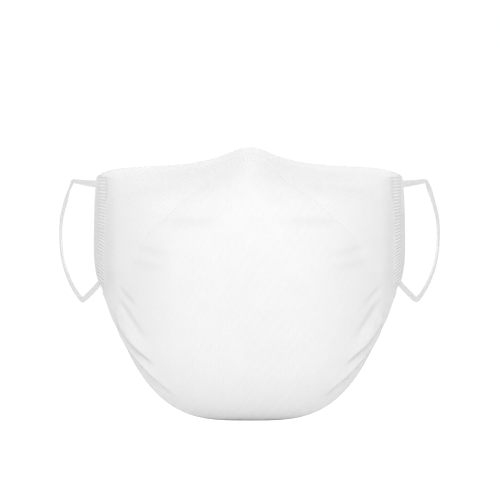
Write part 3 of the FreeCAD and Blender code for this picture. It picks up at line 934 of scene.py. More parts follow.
@dataclass(frozen=True)
class NonwovenFinish:
    """Matt white nonwoven."""

    name: str
    colour: tuple[float, float, float] = (0.95, 0.95, 0.95)
    weave: Weave = Weave.PLAIN
    roughness: float = 0.9
    sheen: float = 0.06
    pattern_depth: float = 0.05     # millimetres
    fibre_depth: float = 0.02
    pattern_tint: float = 0.035
    cloud_tint: float = 0.02
    mottle_tint: float = 0.03
    weld_tint: float = 0.16         # how much greyer a weld, with the painted shade beside the side seam, makes the tape
    fold_tint: float = 0.5          # how much the painted shadow of folds and the painted shade of seams grey the cover
    upper_painted_light: float = 0.6        # painted light: lightens the cover's colour above the panel, as more light from above would, and raises its strokes' height there
    lower_share: float = 0.45       # height of the cover's ribs inside the panel

    def _pattern(self, maker: TreeMaker, effects: Effects, across: Any, down: Any) -> tuple[Any, Any]:
        """Height of the pattern from about -1 to 1, and how much its colour is greyed, from 0 to 1, by welds and by
        painted shadow and shade.
        """
        if self.weave is Weave.COVER:
            strokes = maker.group(effects.strokes, Across=maker.math("ABSOLUTE", across), Down=down,
                                  Pitch=1.45, Dash=1.9, Lean=0.5)
            ribs = maker.group(effects.strokes, Across=across, Down=down, Pitch=1.25, Dash=7.0, Lean=0.0)
            panel = maker.mark("panel")
            outside = maker.math("SUBTRACT", 1.0, panel)
            # Painted light: the cloth above the panel gets a lighter tint, standing in for brighter light from above
            upper = maker.math("MULTIPLY", maker.math("ADD", strokes.outputs[0], self.upper_painted_light), outside)
            lower = maker.math("MULTIPLY", ribs.outputs[0], maker.math("MULTIPLY", panel, self.lower_share))
            # The fold mark holds painted shadow under the pleats and in the valleys, and painted shade beside the side
            # seams
            return maker.math("ADD", upper, lower), maker.mark("fold")
        if self.weave is Weave.PLAIN:
            ribs = maker.group(effects.strokes, Across=across, Down=down, Pitch=1.1, Dash=4.0, Lean=0.3)
            return ribs.outputs[0], None
        pitch = 1.3 if self.weave is Weave.BONDED else 0.8
        bonds = maker.group(effects.bonds, Across=across, Down=down, Pitch=pitch, Size=0.5)
        height = maker.math("MULTIPLY", bonds.outputs[0], -1.0)
        # The tape's weld mark greys the welded rib zone and also holds painted shade beside the side seam
        return height, None if self.weave is Weave.BONDED else maker.mark("weld")

    def material(self, effects: Effects) -> bpy.types.Material:
        """Build the node material.

        Args:
            effects: the shared shader groups.

        Returns:
            The material.
        """
        made, maker, shader = new_material(self.name)
        shader.inputs["Sheen Weight"].default_value = self.sheen
        shader.inputs["Sheen Roughness"].default_value = 0.5
        shader.inputs["Specular IOR Level"].default_value = 0.2
        across, down, fibres = cloth_places(maker, effects)
        height, pressed = self._pattern(maker, effects, across, down)
        tint = maker.math("MULTIPLY_ADD", height, self.pattern_tint, 1.0 - self.pattern_tint)
        for title, amount in (("Clouds", self.cloud_tint), ("Mottle", self.mottle_tint)):
            centred = maker.math("SUBTRACT", fibres.outputs[title], 0.5)
            tint = maker.math("MULTIPLY_ADD", centred, amount * 2.0, tint)
        # Welds grey the tape; painted shadow and painted shade grey the cover and the tape
        if pressed is not None:
            greyer = self.fold_tint if self.weave is Weave.COVER else self.weld_tint
            tint = maker.math("MULTIPLY", tint, maker.math("MULTIPLY_ADD", pressed, -greyer, 1.0))
        rough = maker.math("MULTIPLY_ADD", fibres.outputs["Fibres"], 0.15, self.roughness - 0.1)
        raised = maker.math("MULTIPLY", height, self.pattern_depth * MM)
        total = maker.math("MULTIPLY_ADD", fibres.outputs["Fibres"], self.fibre_depth * MM, raised)
        join_cloth(maker, shader, self.colour, tint, rough, total)
        return made


@dataclass(frozen=True)
class ElasticFinish:
    """White knitted elastic with lengthwise cords."""

    name: str = "knitted_elastic"
    colour: tuple[float, float, float] = (0.95, 0.95, 0.95)
    stitch: float = 0.8             # length of one knitted loop
    cord: float = 0.68              # spacing of the lengthwise cords
    depth: float = 0.009
    fibre_depth: float = 0.006

    def material(self, effects: Effects) -> bpy.types.Material:
        """Build the node material.

        Args:
            effects: the shared shader groups.

        Returns:
            The material.
        """
        made, maker, shader = new_material(self.name)
        shader.inputs["Sheen Weight"].default_value = 0.15
        shader.inputs["Specular IOR Level"].default_value = 0.25
        run, width, fibres = cloth_places(maker, effects)
        cords = maker.math("COSINE", maker.math("MULTIPLY", width, 2.0 * math.pi / self.cord))
        slant = maker.math("MULTIPLY", maker.math("ABSOLUTE", cords), 1.6)
        loops = maker.math("SINE", maker.math("ADD", maker.math("MULTIPLY", run, 2.0 * math.pi / self.stitch), slant))
        height = maker.math("MULTIPLY_ADD", loops, 0.5, cords)
        tint = maker.math("MULTIPLY_ADD", height, 0.035, 0.96)
        tint = maker.math("MULTIPLY_ADD", maker.math("SUBTRACT", fibres.outputs["Clouds"], 0.5), 0.08, tint)
        rough = maker.math("MULTIPLY_ADD", fibres.outputs["Fibres"], 0.2, 0.65)
        raised = maker.math("MULTIPLY", height, self.depth * MM)
        total = maker.math("MULTIPLY_ADD", fibres.outputs["Fibres"], self.fibre_depth * MM, raised)
        join_cloth(maker, shader, self.colour, tint, rough, total)
        return made


@dataclass(frozen=True)
class WireFinish:
    """Rolled soft aluminium wire."""

    name: str = "rolled_aluminium"

    def material(self) -> bpy.types.Material:
        """Build the node material."""
        made, maker, shader = new_material(self.name)
        shader.inputs["Metallic"].default_value = 1.0
        place = maker.node("ShaderNodeTexCoord")
        drawn = maker.node("ShaderNodeMapping", Vector=place.outputs["Object"], Scale=(0.05, 1.0, 1.0))
        lines = maker.node("ShaderNodeTexNoise", Vector=drawn.outputs[0], Scale=6000.0, Detail=2.0)
        shade = maker.math("MULTIPLY_ADD", lines.outputs[0], 0.2, 0.65)
        base = maker.node("ShaderNodeCombineXYZ", X=shade, Y=shade, Z=shade)
        rough = maker.math("MULTIPLY_ADD", lines.outputs[0], 0.3, 0.2)
        bump = maker.node("ShaderNodeBump", Strength=0.4, Distance=0.00002, Height=lines.outputs[0])
        for title, output in (("Base Color", base.outputs[0]), ("Roughness", rough), ("Normal", bump.outputs[0])):
            maker.join(output, shader.inputs[title])
        return made


# ----------------------------------------------------------------------------------------------------
# The mask's pieces
# ----------------------------------------------------------------------------------------------------


@dataclass
class Palette:
    """The materials of the whole object."""

    cover: bpy.types.Material
    filter: bpy.types.Material
    lining: bpy.types.Material
    tape: bpy.types.Material
    rib: bpy.types.Material
    weld: bpy.types.Material
    elastic: bpy.types.Material
    wire: bpy.types.Material

    @classmethod
    def mixed(cls) -> "Palette":
        """Mix every material."""
        effects = Effects()
        return cls(
            cover=NonwovenFinish("cover_nonwoven", weave=Weave.COVER).material(effects),
            filter=NonwovenFinish("filter_web", weave=Weave.PLAIN, pattern_depth=0.01).material(effects),
            lining=NonwovenFinish("lining_nonwoven", weave=Weave.BONDED, pattern_depth=0.06).material(effects),
            tape=NonwovenFinish("tape_nonwoven", weave=Weave.PRESSED, pattern_depth=0.04).material(effects),
            rib=NonwovenFinish("tape_rib", (0.9, 0.9, 0.9), weave=Weave.PLAIN, pattern_tint=0.0).material(effects),
            weld=NonwovenFinish("weld_film", (0.8, 0.8, 0.8), roughness=0.6, pattern_tint=0.0).material(effects),
            elastic=ElasticFinish().material(effects),
            wire=WireFinish().material(),
        )


def dressed(piece: bpy.types.Object, material: bpy.types.Material, body: str) -> None:
    """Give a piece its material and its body."""
    piece.data.materials.clear()
    piece.data.materials.append(material)
    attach(piece, body)
    LOG.info("%s: %d faces on %s", piece.name, len(piece.data.polygons), body)


@dataclass
class Plies:
    """The cover, the filter and the lining."""

    form: MaskForm
    palette: Palette
    columns: int = 236
    rows: int = 188
    cover_thickness: float = 0.5
    inner_thickness: float = 0.4
    clearance: float = 0.2
    flat: tuple[float, float] = (0.175, 0.160)          # metres, before the blank's corners are cut off
    flat_areas: tuple[float, float, float] = (0.0243, 0.0238, 0.0233)       # square metres
    seam_pinch: float = 0.17        # strength of the painted shade beside the side seams on the cover
    panel_line: tuple[tuple[float, float], ...] = (
        (0.0, 33.2), (7.0, 32.0), (13.0, 27.8), (19.0, 21.8), (26.5, 16.9), (33.6, 11.6), (41.0, 4.8),
        (48.0, -2.0), (53.0, -10.0), (57.0, -20.0),
    )

    def _panel(self, points: Array) -> Array:
        """How far each point lies inside the lower panel, from 0 to 1."""
        line = np.array(self.panel_line)
        height = np.interp(np.abs(points[..., 0]), line[:, 0], line[:, 1])
        return smoothstep(-0.8, 0.8, height - points[..., 2])

    def build(self) -> None:
        """Build and dress the three sheets."""
        across, down = np.meshgrid(bunched(1.0, self.columns), 0.5 + bunched(0.5, self.rows), indexing="ij")
        points = self.form.form(across, down)
        normals = self.form.normals(across, down)
        relief = self.form.relief(points)[..., None]

        def skin(depth: float) -> Array:
            """Grid of points at a depth behind the outer face."""
            return points + normals * (relief - depth)

        gap = self.clearance
        filter_depth = self.cover_thickness + gap
        lining_depth = filter_depth + self.inner_thickness + gap
        # Painted shadow under the pleats and in the valleys, with painted shade beside the side seams, greys the
        # cover's colour
        painted_shade = np.maximum(self.form.shadows(points), self.seam_pinch * self.form.seam_shade(points))
        marks = {"panel": self._panel(points), "fold": painted_shade}
        for area, (name, node, depth, thickness, material, slot) in zip(self.flat_areas, (
            ("cover_sheet", "outer_cover", 0.0, self.cover_thickness, self.palette.cover, "cover_nonwoven"),
            ("filter_web", "filter_sheet", filter_depth, self.inner_thickness, self.palette.filter, "filter_web"),
            ("lining_sheet", "inner_lining", lining_depth, self.inner_thickness, self.palette.lining,
             "lining_nonwoven"),
        )):
            piece = closed_shell(name, skin(depth), skin(depth + thickness), marks)
            dressed(piece, material, "mask")
            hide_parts(node)

    def build_panel_welds(self, tree: bpy.types.NodeTree) -> None:
        """Grow the line of small weld points round the lower panel's top.

        Args:
            tree: the tree that lays weld points.
        """
        line = np.array(self.panel_line)
        mirrored = line * (-1.0, 1.0)
        lines, normals = [], []
        for run in (line[2:-1], mirrored[2:-1], np.concatenate([line[2:0:-1], mirrored[0:3]])):
            places = self.form.places_along(run, 1.2)
            lines.append(self.form.sheet(places[:, 0], places[:, 1], -0.02))
            normals.append(self.form.normals(places[:, 0], places[:, 1]))
        guides = guide_object("panel_guides", lines, normals)
        piece = grown("panel_weld_points", guides, tree, {
            "Spacing": 1.75 * MM, "Dot Length": 0.7 * MM, "Dot Width": 0.5 * MM, "Dot Height": 0.12 * MM,
            "Finish": self.palette.weld,
        })
        dressed(piece, self.palette.weld, "mask")


@dataclass
class FoldedStrip:
    """A strip of nonwoven folded over one edge of the plies."""

    form: MaskForm
    edge: Edge
    front_width: float
    back_width: float
    back_depth: float = 1.9
    thickness: float = 0.4
    clearance: float = 0.2
    lift: float = 1.0               # share of its full height that the front leg stands over the cover
    taper: float = 7.0              # how far in from its borders the strip thins out
    rise: float = 1.0               # height of the turn over the edge, as a share of a half circle's
    end_run: float = 1.6            # distance from each end over which the strip is pressed down
    sunk: tuple[float, float] = (0.04, 0.14)        # how far the outer and inner skins go in at the borders
    spacing: float = 0.5
    turn_angles: tuple[float, ...] = (68.0, 45.0, 22.0, 0.0, -22.0, -45.0, -68.0)
    extra_depth: Optional[Callable[[Array, Array], Array]] = None

    def build(self, name: str, across: Array, down: Array,
              weld: Optional[Callable[[Array], Array]] = None) -> bpy.types.Object:
        """Build the strip along stations on its edge.

        Args:
            name: the piece's name.
            across: across values of the stations.
            down: down values of the stations.
            weld: how much the strip's colour is greyed at given points, by its weld and by painted shade, from 0 to 1.

        Returns:
            The strip.
        """
        form = self.form
        front = np.linspace(0.0, self.front_width, 1 + round(self.front_width / self.spacing))
        back = np.linspace(0.0, self.back_width, 1 + round(self.back_width / self.spacing))
        run = runs_along(form.form(across, down))
        run -= 0.5 * run[-1]
        full = smoothstep(0.0, self.end_run, run[-1] - np.abs(run))[:, None]
        front_places = form.walk(self.edge, across[:, None], down[:, None], front[None, ::-1])
        back_places = form.walk(self.edge, across[:, None], down[:, None], back[None, :])
        point, past, outward = form.edge_frames(self.edge, across, down)
        point = point + outward * form.relief(point)[:, None]
        thinned = smoothstep(self.front_width - self.taper, self.front_width, front[::-1])[None, :]
        full_front = self.lift * full * (1.0 - thinned)
        hollow = smoothstep(self.back_width - 2.0, self.back_width, back)[None, :]
        extra = self.extra_depth(run[:, None], back[None, :]) if self.extra_depth else 0.0
        turn_depth = 0.5 * (self.back_depth - self.clearance)
        turn_radius = 0.5 * (self.back_depth + self.clearance)
        skins = []
        for skin in (self.thickness, 0.0):
            border = -self.sunk[0 if skin else 1]
            proud = border + full_front * (self.clearance + skin - border)
            behind = self.back_depth + skin * (1.0 - 0.85 * hollow) + extra
            leg = form.sheet(*front_places, -np.broadcast_to(proud, front_places[0].shape))
            tail = form.sheet(*back_places, np.broadcast_to(behind, back_places[0].shape))
            reach = (turn_radius + skin) * self.rise * (0.4 + 0.6 * full)
            turn = np.stack([
                point + past * math.cos(math.radians(angle)) * reach
                + outward * (math.sin(math.radians(angle)) * (turn_radius + skin) - turn_depth)
                for angle in self.turn_angles
            ], axis=1)
            skins.append(np.concatenate([leg, turn, tail], axis=1))
        inset = np.concatenate([front[::-1], np.zeros(len(self.turn_angles)), -back])
        # The weld mark also holds painted shade beside the side seam
        marks = {"weld": weld(skins[0]) * (np.abs(inset) > 0.3)} if weld else None
        return closed_shell(name, skins[0], skins[1], marks)


@dataclass
class Hems:
    """The hem strips of the top and chin edges, and the nose wire that the top one holds."""

    form: MaskForm
    palette: Palette
    top_start: float = 0.5          # how far the hem starts from the corner, under the side tape
    chin_start: float = 4.5
    turn_width: float = 3.5         # width of the strip that goes round the edge
    weld_borders: tuple[float, float] = (1.1, 2.6)      # from the inner leg's border to its rows of welds
    weld_sink: float = 0.03
    wire_length: float = 96.0
    wire_inset: float = 4.5
    wire_width: float = 4.0
    wire_room: float = 0.85

    def _wire_bulge(self, run: Array, inset: Array) -> Array:
        """How far the wire pushes the hem's inner leg out."""
        middle = self.wire_inset + 0.5 * self.wire_width
        over = 1.0 - smoothstep(0.5 * self.wire_width + 0.2, 0.5 * self.wire_width + 1.6, np.abs(inset - middle))
        within = 1.0 - smoothstep(0.5 * self.wire_length + 0.2, 0.5 * self.wire_length + 2.5, np.abs(run))
        return self.wire_room * over * within

    def build(self, dots: bpy.types.NodeTree) -> None:
        """Build both hems with their weld points, and dress the wire.

        Args:
            dots: the tree that lays weld points.
        """
        lines, normals = [], []
        for name, node, edge, start, widths, extra in (
            ("top_hem_strip", "top_hem", Edge.TOP, self.top_start, (5.0, 12.0), self._wire_bulge),
            ("chin_hem_strip", "chin_hem", Edge.CHIN, self.chin_start, (5.0, 6.0), None),
        ):
            level = 0.0 if edge is Edge.TOP else 1.0
            limit = self.form.across_from_corner(level, start)
            across = bunched(limit, 220, 0.9)
            down = np.full_like(across, level)
            strip = FoldedStrip(self.form, edge, *widths, taper=4.8, lift=0.5, rise=0.45, end_run=8.0,
                                extra_depth=extra)
            piece = strip.build(name, across, down)
            dressed(piece, self.palette.cover, "mask")
            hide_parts(node)
            for border in self.weld_borders:
                places = self.form.walk(edge, across[4:-4], down[4:-4], widths[1] - border)
                depth = strip.back_depth + strip.thickness
                lines.append(self.form.sheet(*places, depth - self.weld_sink))
                normals.append(-self.form.normals(*places))
            length = float(np.linalg.norm(np.diff(self.form.form(across, down), axis=0), axis=1).sum())
        guides = guide_object("hem_guides", lines, normals)
        points = grown("hem_weld_points", guides, dots, {
            "Spacing": 2.4 * MM, "Dot Length": 1.3 * MM, "Dot Width": 0.6 * MM, "Dot Height": 0.22 * MM,
            "Finish": self.palette.weld,
        })
        dressed(points, self.palette.weld, "mask")
        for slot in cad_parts["nose_wire"].material_slots:
            slot.material = self.palette.wire


@dataclass
class SideTape:
    """The tape folded over one side edge, with its pressed ribs."""

    form: MaskForm
    palette: Palette
    side: Side
    front_width: float = 11.0
    back_width: float = 9.0
    rib_pitch: float = 1.5
    rib_width: float = 0.8
    rib_height: float = 0.6
    rib_reach: tuple[float, float] = (72.9, 68.9)       # where the ribs begin and end, across the front view
    rib_top: float = 27.5
    rib_count: int = 37
    rib_points: int = 11
    rib_start: float = 0.9          # how far in from the edge the ribs may begin
    rib_insets: tuple[float, float] = (13.5, 7.8)       # how far in they may end, in front and inside
    rib_sink: float = 0.1           # how deep the ribs' centre lines lie in the tape
    front_rise: float = 0.6         # height of the tape's front leg over the cover
    back_face: float = 2.3          # depth of the inner leg's face
    rib_drops: tuple[tuple[float, float], ...] = (      # how far a rib falls inwards, by its height
        (-30.0, 5.4), (-22.0, 4.8), (-13.0, 4.0), (-5.0, 2.9), (7.0, 1.3), (15.0, 0.7), (26.0, 0.2),
    )

    def _guides(self, front: bool) -> bpy.types.Object:
        """Guide lines of the ribs on the tape's front or back leg."""
        downs = self.form.side_stations()
        insets = np.linspace(self.rib_start, self.rib_insets[0 if front else 1], 60)
        across, down = self.form.walk(Edge.SIDE, np.ones((len(insets), 1)), downs[None, :], insets[:, None])
        points = self.form.form(across, down)
        begin, end = self.rib_reach
        drops, stations = np.array(self.rib_drops), np.arange(len(downs))
        lines, normals = [], []
        for i in range(self.rib_count):
            top = self.rib_top - i * self.rib_pitch
            drop = float(np.interp(top, drops[:, 0], drops[:, 1]))
            height = np.full(len(insets), top)
            for _ in range(3):
                column = [np.interp(-height[k], -points[k, :, 2], stations) for k in range(len(insets))]
                x = np.array([np.interp(column[k], stations, points[k, :, 0]) for k in range(len(insets))])
                height = top - drop * (begin - x) / (begin - end)
            column = np.array(column)
            inside = (x < begin) & (x > end) & (column > 4) & (column < len(downs) - 5)
            if inside.sum() < 6:
                continue
            places = [
                np.array([np.interp(column[k], stations, grid[k]) for k in np.flatnonzero(inside)])
                for grid in (across, down)
            ]
            places[0] *= self.side.value
            skin = self.front_rise * (1.0 - smoothstep(4.0, self.front_width, insets[inside])) - self.rib_sink
            lines.append(self.form.sheet(*places, -skin if front else self.back_face - self.rib_sink))
            facing = self.form.normals(*places)
            normals.append(facing if front else -facing)
        return guide_object("rib_guides", lines, normals)

    def _weld(self, points: Array) -> Array:
        """How much the tape's colour is greyed, from 0 to 1: half by the weld over the ribs, half by painted shade
        beside the side seam.
        """
        begin, end = self.rib_reach
        x = np.abs(points[..., 0])
        pressed = smoothstep(begin + 0.5, begin, x) * smoothstep(end - 0.8, end, x)
        # Painted shade beside the side seam makes half of the mark
        return pressed * 0.5 + 0.5 * self.form.seam_shade(points)

    def build(self, ribs: bpy.types.NodeTree) -> None:
        """Build the tape and its ribs.

        Args:
            ribs: the tree that sweeps the ribs.
        """
        down = np.linspace(0.0, 1.0, 110)
        strip = FoldedStrip(self.form, Edge.SIDE, self.front_width, self.back_width)
        tape = strip.build(f"{self.side.word}_side_tape", np.ones_like(down), down, self._weld)
        if self.side is Side.LEFT:
            mirror_mesh(tape)
        dressed(tape, self.palette.tape, "mask")
        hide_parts(f"{self.side.word}_edge_tape")
        for front in (True, False):
            name = f"{self.side.word}_tape_ribs" + ("" if front else "_inside")
            piece = grown(name, self._guides(front), ribs, {
                "Rib Width": self.rib_width * MM, "Rib Height": self.rib_height * MM, "Points": self.rib_points,
                "Sides": 10, "Wobble": 0.08, "Seed": 3 + self.side.value, "Finish": self.palette.rib,
            })
            dressed(piece, self.palette.rib, "mask")


@dataclass
class EarLoop:
    """The flat elastic of one side, with its two welded ends."""

    form: MaskForm
    palette: Palette
    side: Side
    width: float = 3.4
    thickness: float = 0.8
    flare: float = 17.1             # degrees outwards from straight back
    upper_hinge: tuple[float, float, float] = (0.0734485, 0.0046715, 0.0221806)     # metres
    lower_hinge: tuple[float, float, float] = (0.0699180, 0.0034821, -0.0226509)
    route: tuple[tuple[float, float], ...] = (      # metres back from the hinge line, and up it
        (0.0200, 0.0243), (0.0390, 0.0262), (0.0450, 0.0269), (0.0505, 0.0242), (0.0625, 0.0169),
        (0.0732, 0.0085), (0.0766, -0.0025), (0.0748, -0.0120), (0.0650, -0.0219), (0.0545, -0.0280),
        (0.0480, -0.0309), (0.0435, -0.0320), (0.0390, -0.0313), (0.0150, -0.0262),
    )
    end_heights: tuple[float, float] = (22.2, -23.6)
    end_length: float = 8.5
    end_overhang: float = 2.6
    end_depth: float = 2.7
    hinge_gap: float = 0.9
    corner_share: float = 0.258     # where along the loop the band is pinched by its tightest bend
    lower_share: float = 0.765      # where it is pinched by the lower bend
    pinch_reach: tuple[float, float] = (0.018, 0.02)    # shares of the loop over which the two bends pinch it
    twist: float = 26.0             # degrees that the band turns on its flat just past the tightest bend
    end_rounding: float = 0.35
    end_sink: float = 0.33          # how far a welded end dips under the edge
    dent_depth: float = 0.22        # depth of the weld's pattern
    declared_length: float = 0.177  # metres, between the two welds
    section_points: int = 40

    def _axes(self) -> tuple[Vector, Vector, Vector, Vector]:
        """Middle of the hinge line, its direction, the loop's back direction and the loop plane's normal."""
        upper, lower = Vector(self.upper_hinge), Vector(self.lower_hinge)
        up = (upper - lower).normalized()
        flare = math.radians(self.flare)
        straight = Vector((math.sin(flare), math.cos(flare), 0.0))
        back = (straight - up * straight.dot(up)).normalized()
        return (upper + lower) / 2.0, up, back, back.cross(up)

    def _route_points(self) -> list[Vector]:
        """Control points of the loop's line, in metres."""
        middle, up, back, _ = self._axes()
        inner = [middle + back * b + up * u for b, u in self.route]
        points = [Vector(self.upper_hinge), *inner, Vector(self.lower_hinge)]
        return [Vector((p.x * self.side.value, p.y, p.z)) for p in points]

    def _line(self) -> Array:
        """The loop's smooth line, read from its spline, in metres."""
        curve = bpy.data.curves.new("loop_route", "CURVE")
        curve.dimensions = "3D"
        curve.resolution_u = 24
        spline = curve.splines.new("NURBS")
        points = self._route_points()
        spline.points.add(len(points) - 1)
        for knot, point in zip(spline.points, points):
            knot.co = (*point, 1.0)
        spline.order_u = 3
        spline.use_endpoint_u = True
        holder = bpy.data.objects.new("loop_route", curve)
        bpy.context.scene.collection.objects.link(holder)
        mesh = bpy.data.meshes.new_from_object(holder)
        line = np.array([vertex.co[:] for vertex in mesh.vertices])
        bpy.data.objects.remove(holder)
        bpy.data.meshes.remove(mesh)
        return line

    def _section(self, width: float, thickness: float) -> Array:
        """Outline of the band: rounded edges, and a cord under each lengthwise ridge."""
        angle = np.linspace(0.0, 2.0 * np.pi, self.section_points, endpoint=False)
        across = 0.5 * width * np.sign(np.cos(angle)) * np.abs(np.cos(angle)) ** 0.55
        face = 0.5 * thickness * np.sign(np.sin(angle)) * np.abs(np.sin(angle)) ** 0.45
        ridge = 1.0 + 0.08 * np.cos(2.0 * np.pi * across / (width / 5.0))
        return np.stack([across, face * ridge], axis=1)

    def build_band(self) -> None:
        line = self._line()
        steps = runs_along(line)
        length = float(steps[-1])
        stations = np.linspace(0.0, length, int(length / 0.0005))
        path = np.stack([np.interp(stations, steps, line[:, k]) for k in range(3)], axis=1)
        heading = unit(np.gradient(path, axis=0))
        normal = np.array(self._axes()[3]) * (self.side.value, 1.0, 1.0)
        flat = np.broadcast_to(unit(normal), heading.shape)
        edge = unit(np.cross(flat, heading))
        share = stations / length
        near = np.exp(-(((share - self.corner_share) / self.pinch_reach[0]) ** 2))
        far = np.exp(-(((share - self.lower_share) / self.pinch_reach[1]) ** 2))
        past_corner = smoothstep(0.0, 0.06, share - self.corner_share)
        narrowed = smoothstep(0.0, self.corner_share, share) * (1.0 - 0.75 * past_corner)
        twist = np.radians(self.twist) * np.exp(-(((share - self.corner_share - 0.03) / 0.03) ** 2))
        slim = 1.0 - 0.42 * narrowed - 0.1 * near - 0.15 * far
        thick = 1.0 + 0.45 * narrowed + 0.2 * near + 0.2 * far
        from_end = np.minimum(stations, length - stations) / (self.end_rounding * MM)
        round_end = np.where(from_end > 1.0, 1.0, np.sqrt(np.clip(1.0 - (1.0 - from_end) ** 2, 0.02, 1.0)))
        rings, cloth = [], []
        for i in range(len(stations)):
            outline = self._section(self.width * slim[i], self.thickness * thick[i] * round_end[i])
            wide = edge[i] * math.cos(twist[i]) + flat[i] * math.sin(twist[i])
            deep = flat[i] * math.cos(twist[i]) - edge[i] * math.sin(twist[i])
            rings.append(path[i] / MM + outline[:, :1] * wide + outline[:, 1:] * deep)
            cloth.append(np.stack([
                np.full(self.section_points, stations[i] / MM), outline[:, 0], outline[:, 1]], axis=1))
        piece = tube(f"{self.side.word}_elastic_band", np.array(rings), np.array(cloth))
        dressed(piece, self.palette.elastic, f"{self.side.word}_loop")
        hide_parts(f"{self.side.word}_ear_loop")
        LOG.info("%s band is %.1f mm long", self.side.word, length / MM)

    def build_end(self, upper: bool) -> None:
        """Build one welded end inside the side tape, with its pressed weld pattern.

        Args:
            upper: whether it is the upper end.
        """
        downs = self.form.side_stations()
        heights = self.form.form(np.ones_like(downs), downs)[:, 2]
        height = self.end_heights[0 if upper else 1]
        middle = float(np.interp(-height, -heights, downs))
        along_edge = float(np.linalg.norm(self.form.slopes(np.array(1.0), np.array(middle))[1]))
        widths = np.linspace(-0.5 * self.width, 0.5 * self.width, 23)
        down = middle - widths / along_edge
        insets = np.linspace(self.end_length, 0.0, 58)
        point, past, outward = self.form.edge_frames(Edge.SIDE, np.ones_like(down), down)
        places = self.form.walk(Edge.SIDE, np.ones((len(insets), 1)), down[None, :], insets[:, None])
        reach = np.linspace(0.2, self.end_overhang + self.hinge_gap + 0.25, 20)
        welded = smoothstep(0.6, 1.4, insets) * (1.0 - smoothstep(self.end_length - 1.2, self.end_length - 0.4, insets))
        pattern = np.cos(np.pi * insets[:, None] / 0.75) * np.cos(np.pi * widths[None, :] / 0.6)
        dents = self.dent_depth * welded[:, None] * smoothstep(0.15, 0.6, np.abs(pattern))
        dents = dents * (np.abs(widths)[None, :] < 1.5)
        taper = 0.35 * smoothstep(self.end_length - 1.0, self.end_length, insets)[:, None]
        rounding = 0.25 * smoothstep(0.75, 1.0, np.abs(widths) / (0.5 * self.width))[None, :]
        skins = []
        for sign, base in ((-1.0, self.end_depth), (1.0, self.end_depth + self.thickness)):
            inside = base - self.end_sink * smoothstep(-1.0, 3.0, insets)[:, None]
            inside = inside - (dents + taper + rounding if sign > 0 else -0.6 * rounding)
            grid = self.form.sheet(*places, np.broadcast_to(inside, places[0].shape))
            tip_round = 0.3 * smoothstep(0.85, 1.0, reach / reach[-1])
            tip_depth = base - self.end_sink * smoothstep(-1.0, 3.0, -reach) - sign * tip_round
            tip_depth = tip_depth[:, None] - sign * rounding * (1.0 if sign > 0 else 0.6)
            tip = point[None] + past[None] * reach[:, None, None] - outward[None] * tip_depth[..., None]
            skins.append(np.concatenate([grid, tip], axis=0))
        skins = [skin * (self.side.value, 1.0, 1.0) for skin in skins]
        word = "upper" if upper else "lower"
        piece = closed_shell(f"{self.side.word}_{word}_band_end", skins[0], skins[1])
        dressed(piece, self.palette.elastic, "mask")
        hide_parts(f"{self.side.word}_{word}_loop_end")


# ----------------------------------------------------------------------------------------------------
# Studio
# ----------------------------------------------------------------------------------------------------


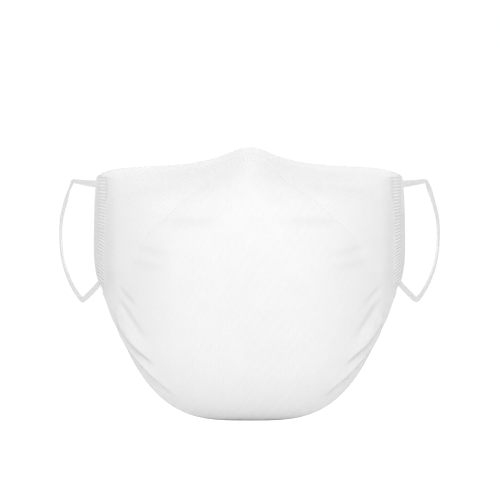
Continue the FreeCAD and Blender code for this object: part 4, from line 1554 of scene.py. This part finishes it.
@dataclass
class Studio:
    """Camera, lights, white surroundings and floor."""

    distance: float = 3.0
    view_width: float = 0.24195
    aim: tuple[float, float] = (0.00024, -0.00968)
    key_power: float = 12.8
    side_power: float = 4.5
    back_power: float = 9.0
    fill: float = 0.56              # how brightly the surroundings light the mask
    backdrop: float = 1.02          # how bright they look themselves
    floor_glow: float = 0.8
    floor_gap: float = 0.0006

    def build_camera(self) -> None:
        """Place the camera in front of the mask, level with it."""
        data = bpy.data.cameras.new("front_view")
        data.lens = data.sensor_width * self.distance / self.view_width
        data.clip_end = 30.0
        camera = linked("front_view", data)
        camera.location = (self.aim[0], -self.distance, self.aim[1])
        camera.rotation_euler = (math.radians(90.0), 0.0, 0.0)
        bpy.context.scene.camera = camera

    def build_lights(self) -> None:
        """Hang broad soft lights round the mask and light the rest evenly."""
        for name, place, size, power in (
            ("key_light", (0.0, -1.7, 1.3), 1.1, self.key_power),
            ("left_light", (-1.5, -1.4, 0.8), 1.0, self.side_power),
            ("right_light", (1.5, -1.4, 0.8), 1.0, self.side_power),
            ("back_light", (0.0, 2.0, 1.0), 1.2, self.back_power),
        ):
            data = bpy.data.lights.new(name, "AREA")
            data.energy = power
            data.size = size
            light = linked(name, data)
            light.location = place
            light.rotation_euler = (-Vector(place)).to_track_quat("-Z", "Y").to_euler()
            light.visible_camera = False
        world = bpy.data.worlds.new("white_surroundings")
        world.use_nodes = True
        bpy.context.scene.world = world
        maker = TreeMaker(world.node_tree)
        background = world.node_tree.nodes["Background"]
        background.inputs["Color"].default_value = (1.0, 1.0, 1.0, 1.0)
        seen = maker.node("ShaderNodeLightPath").outputs["Is Camera Ray"]
        strength = maker.math("MULTIPLY_ADD", seen, self.backdrop - self.fill, self.fill)
        maker.join(strength, background.inputs["Strength"])

    def build_floor(self, height: float) -> None:
        """Lay a plain white floor.

        Args:
            height: the floor's height, in metres.
        """
        corners = [(-4.0, -4.0), (4.0, -4.0), (4.0, 4.0), (-4.0, 4.0)]
        mesh = bpy.data.meshes.new("floor")
        mesh.from_pydata([(x, y, height) for x, y in corners], [], [(0, 1, 2, 3)])
        floor = linked("floor", mesh)
        material, maker, shader = new_material("white_floor")
        for title, value in (
            ("Base Color", (0.95, 0.95, 0.95, 1.0)), ("Roughness", 1.0), ("Specular IOR Level", 0.0),
            ("Emission Color", (1.0, 1.0, 1.0, 1.0)),
        ):
            shader.inputs[title].default_value = value
        seen = maker.node("ShaderNodeLightPath").outputs["Is Camera Ray"]
        maker.join(maker.math("MULTIPLY", seen, self.floor_glow), shader.inputs["Emission Strength"])
        mesh.materials.append(material)
        floor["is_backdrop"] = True


def creases() -> tuple[Crease, ...]:
    """The folds of the worn cloth, as lines in the front view."""
    return (
        # Overlapping gathers at the lower sides
        Crease(((64.5, -40.0), (62.4, -45.4), (59.6, -50.0), (56.2, -54.4), (51.6, -58.9), (47.2, -63.0),
                (43.8, -65.8)), Fold.PLEAT, 1.4, 3.4, 0.4, start=0.1),
        Crease(((64.0, -45.0), (61.8, -51.0), (58.2, -56.8), (54.4, -61.6), (50.0, -66.4), (45.4, -70.8), (40.8, -75.2),
                (37.0, -78.4), (33.5, -80.6)), Fold.PLEAT, 1.8, 3.2, 0.4, start=0.08, end=0.35),
        # Softer folds above them, and faint ones beside the panel
        Crease(((64.5, -33.5), (60.6, -37.6), (57.4, -42.6), (54.2, -47.2), (51.1, -51.0), (46.0, -54.2)),
               Fold.VALLEY, 1.2, 2.2, start=0.3, end=0.5),
        Crease(((63.6, -27.2), (60.2, -31.0), (57.0, -34.6), (52.6, -38.6)), Fold.VALLEY, 0.8, 1.8, start=0.3, end=0.5),
        Crease(((61.5, -43.0), (57.5, -50.0), (52.5, -55.8), (47.5, -59.8)), Fold.RIDGE, 0.7, 2.0, start=0.3, end=0.5),
        Crease(((61.0, -12.0), (52.0, -16.5), (43.0, -18.0), (33.0, -17.5)), Fold.VALLEY, 0.3, 2.2, start=0.5, end=0.5),
        Crease(((60.0, -4.0), (51.0, -9.0), (42.0, -11.5), (32.0, -12.0)), Fold.VALLEY, 0.3, 2.0, start=0.5, end=0.5),
        # Hollows beside the nose
        Crease(((47.0, 4.0), (38.0, 3.8), (29.0, 3.6), (20.0, 4.0), (10.0, 5.5)), Fold.VALLEY, 0.7, 2.8,
               start=0.35, end=0.4),
    )


def main() -> None:
    """Build the mask and its studio."""
    logging.basicConfig(level=logging.INFO, format="%(message)s")
    bpy.context.scene.view_settings.view_transform = "Standard"
    studio = Studio()
    studio.build_camera()
    form = MaskForm(creases=creases())
    palette = Palette.mixed()
    ribs, dots = rib_tree(), dot_tree()
    loops = [EarLoop(form, palette, side) for side in Side]
    for loop in loops:
        loop.build_band()
    for loop in loops:
        loop.build_end(True)
        loop.build_end(False)
    plies = Plies(form, palette)
    plies.build()
    plies.build_panel_welds(dots)
    Hems(form, palette).build(dots)
    for side in Side:
        SideTape(form, palette, side).build(ribs)
    studio.build_lights()
    low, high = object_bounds()
    studio.build_floor(low.z - studio.floor_gap)


if __name__ == "__main__":
    main()
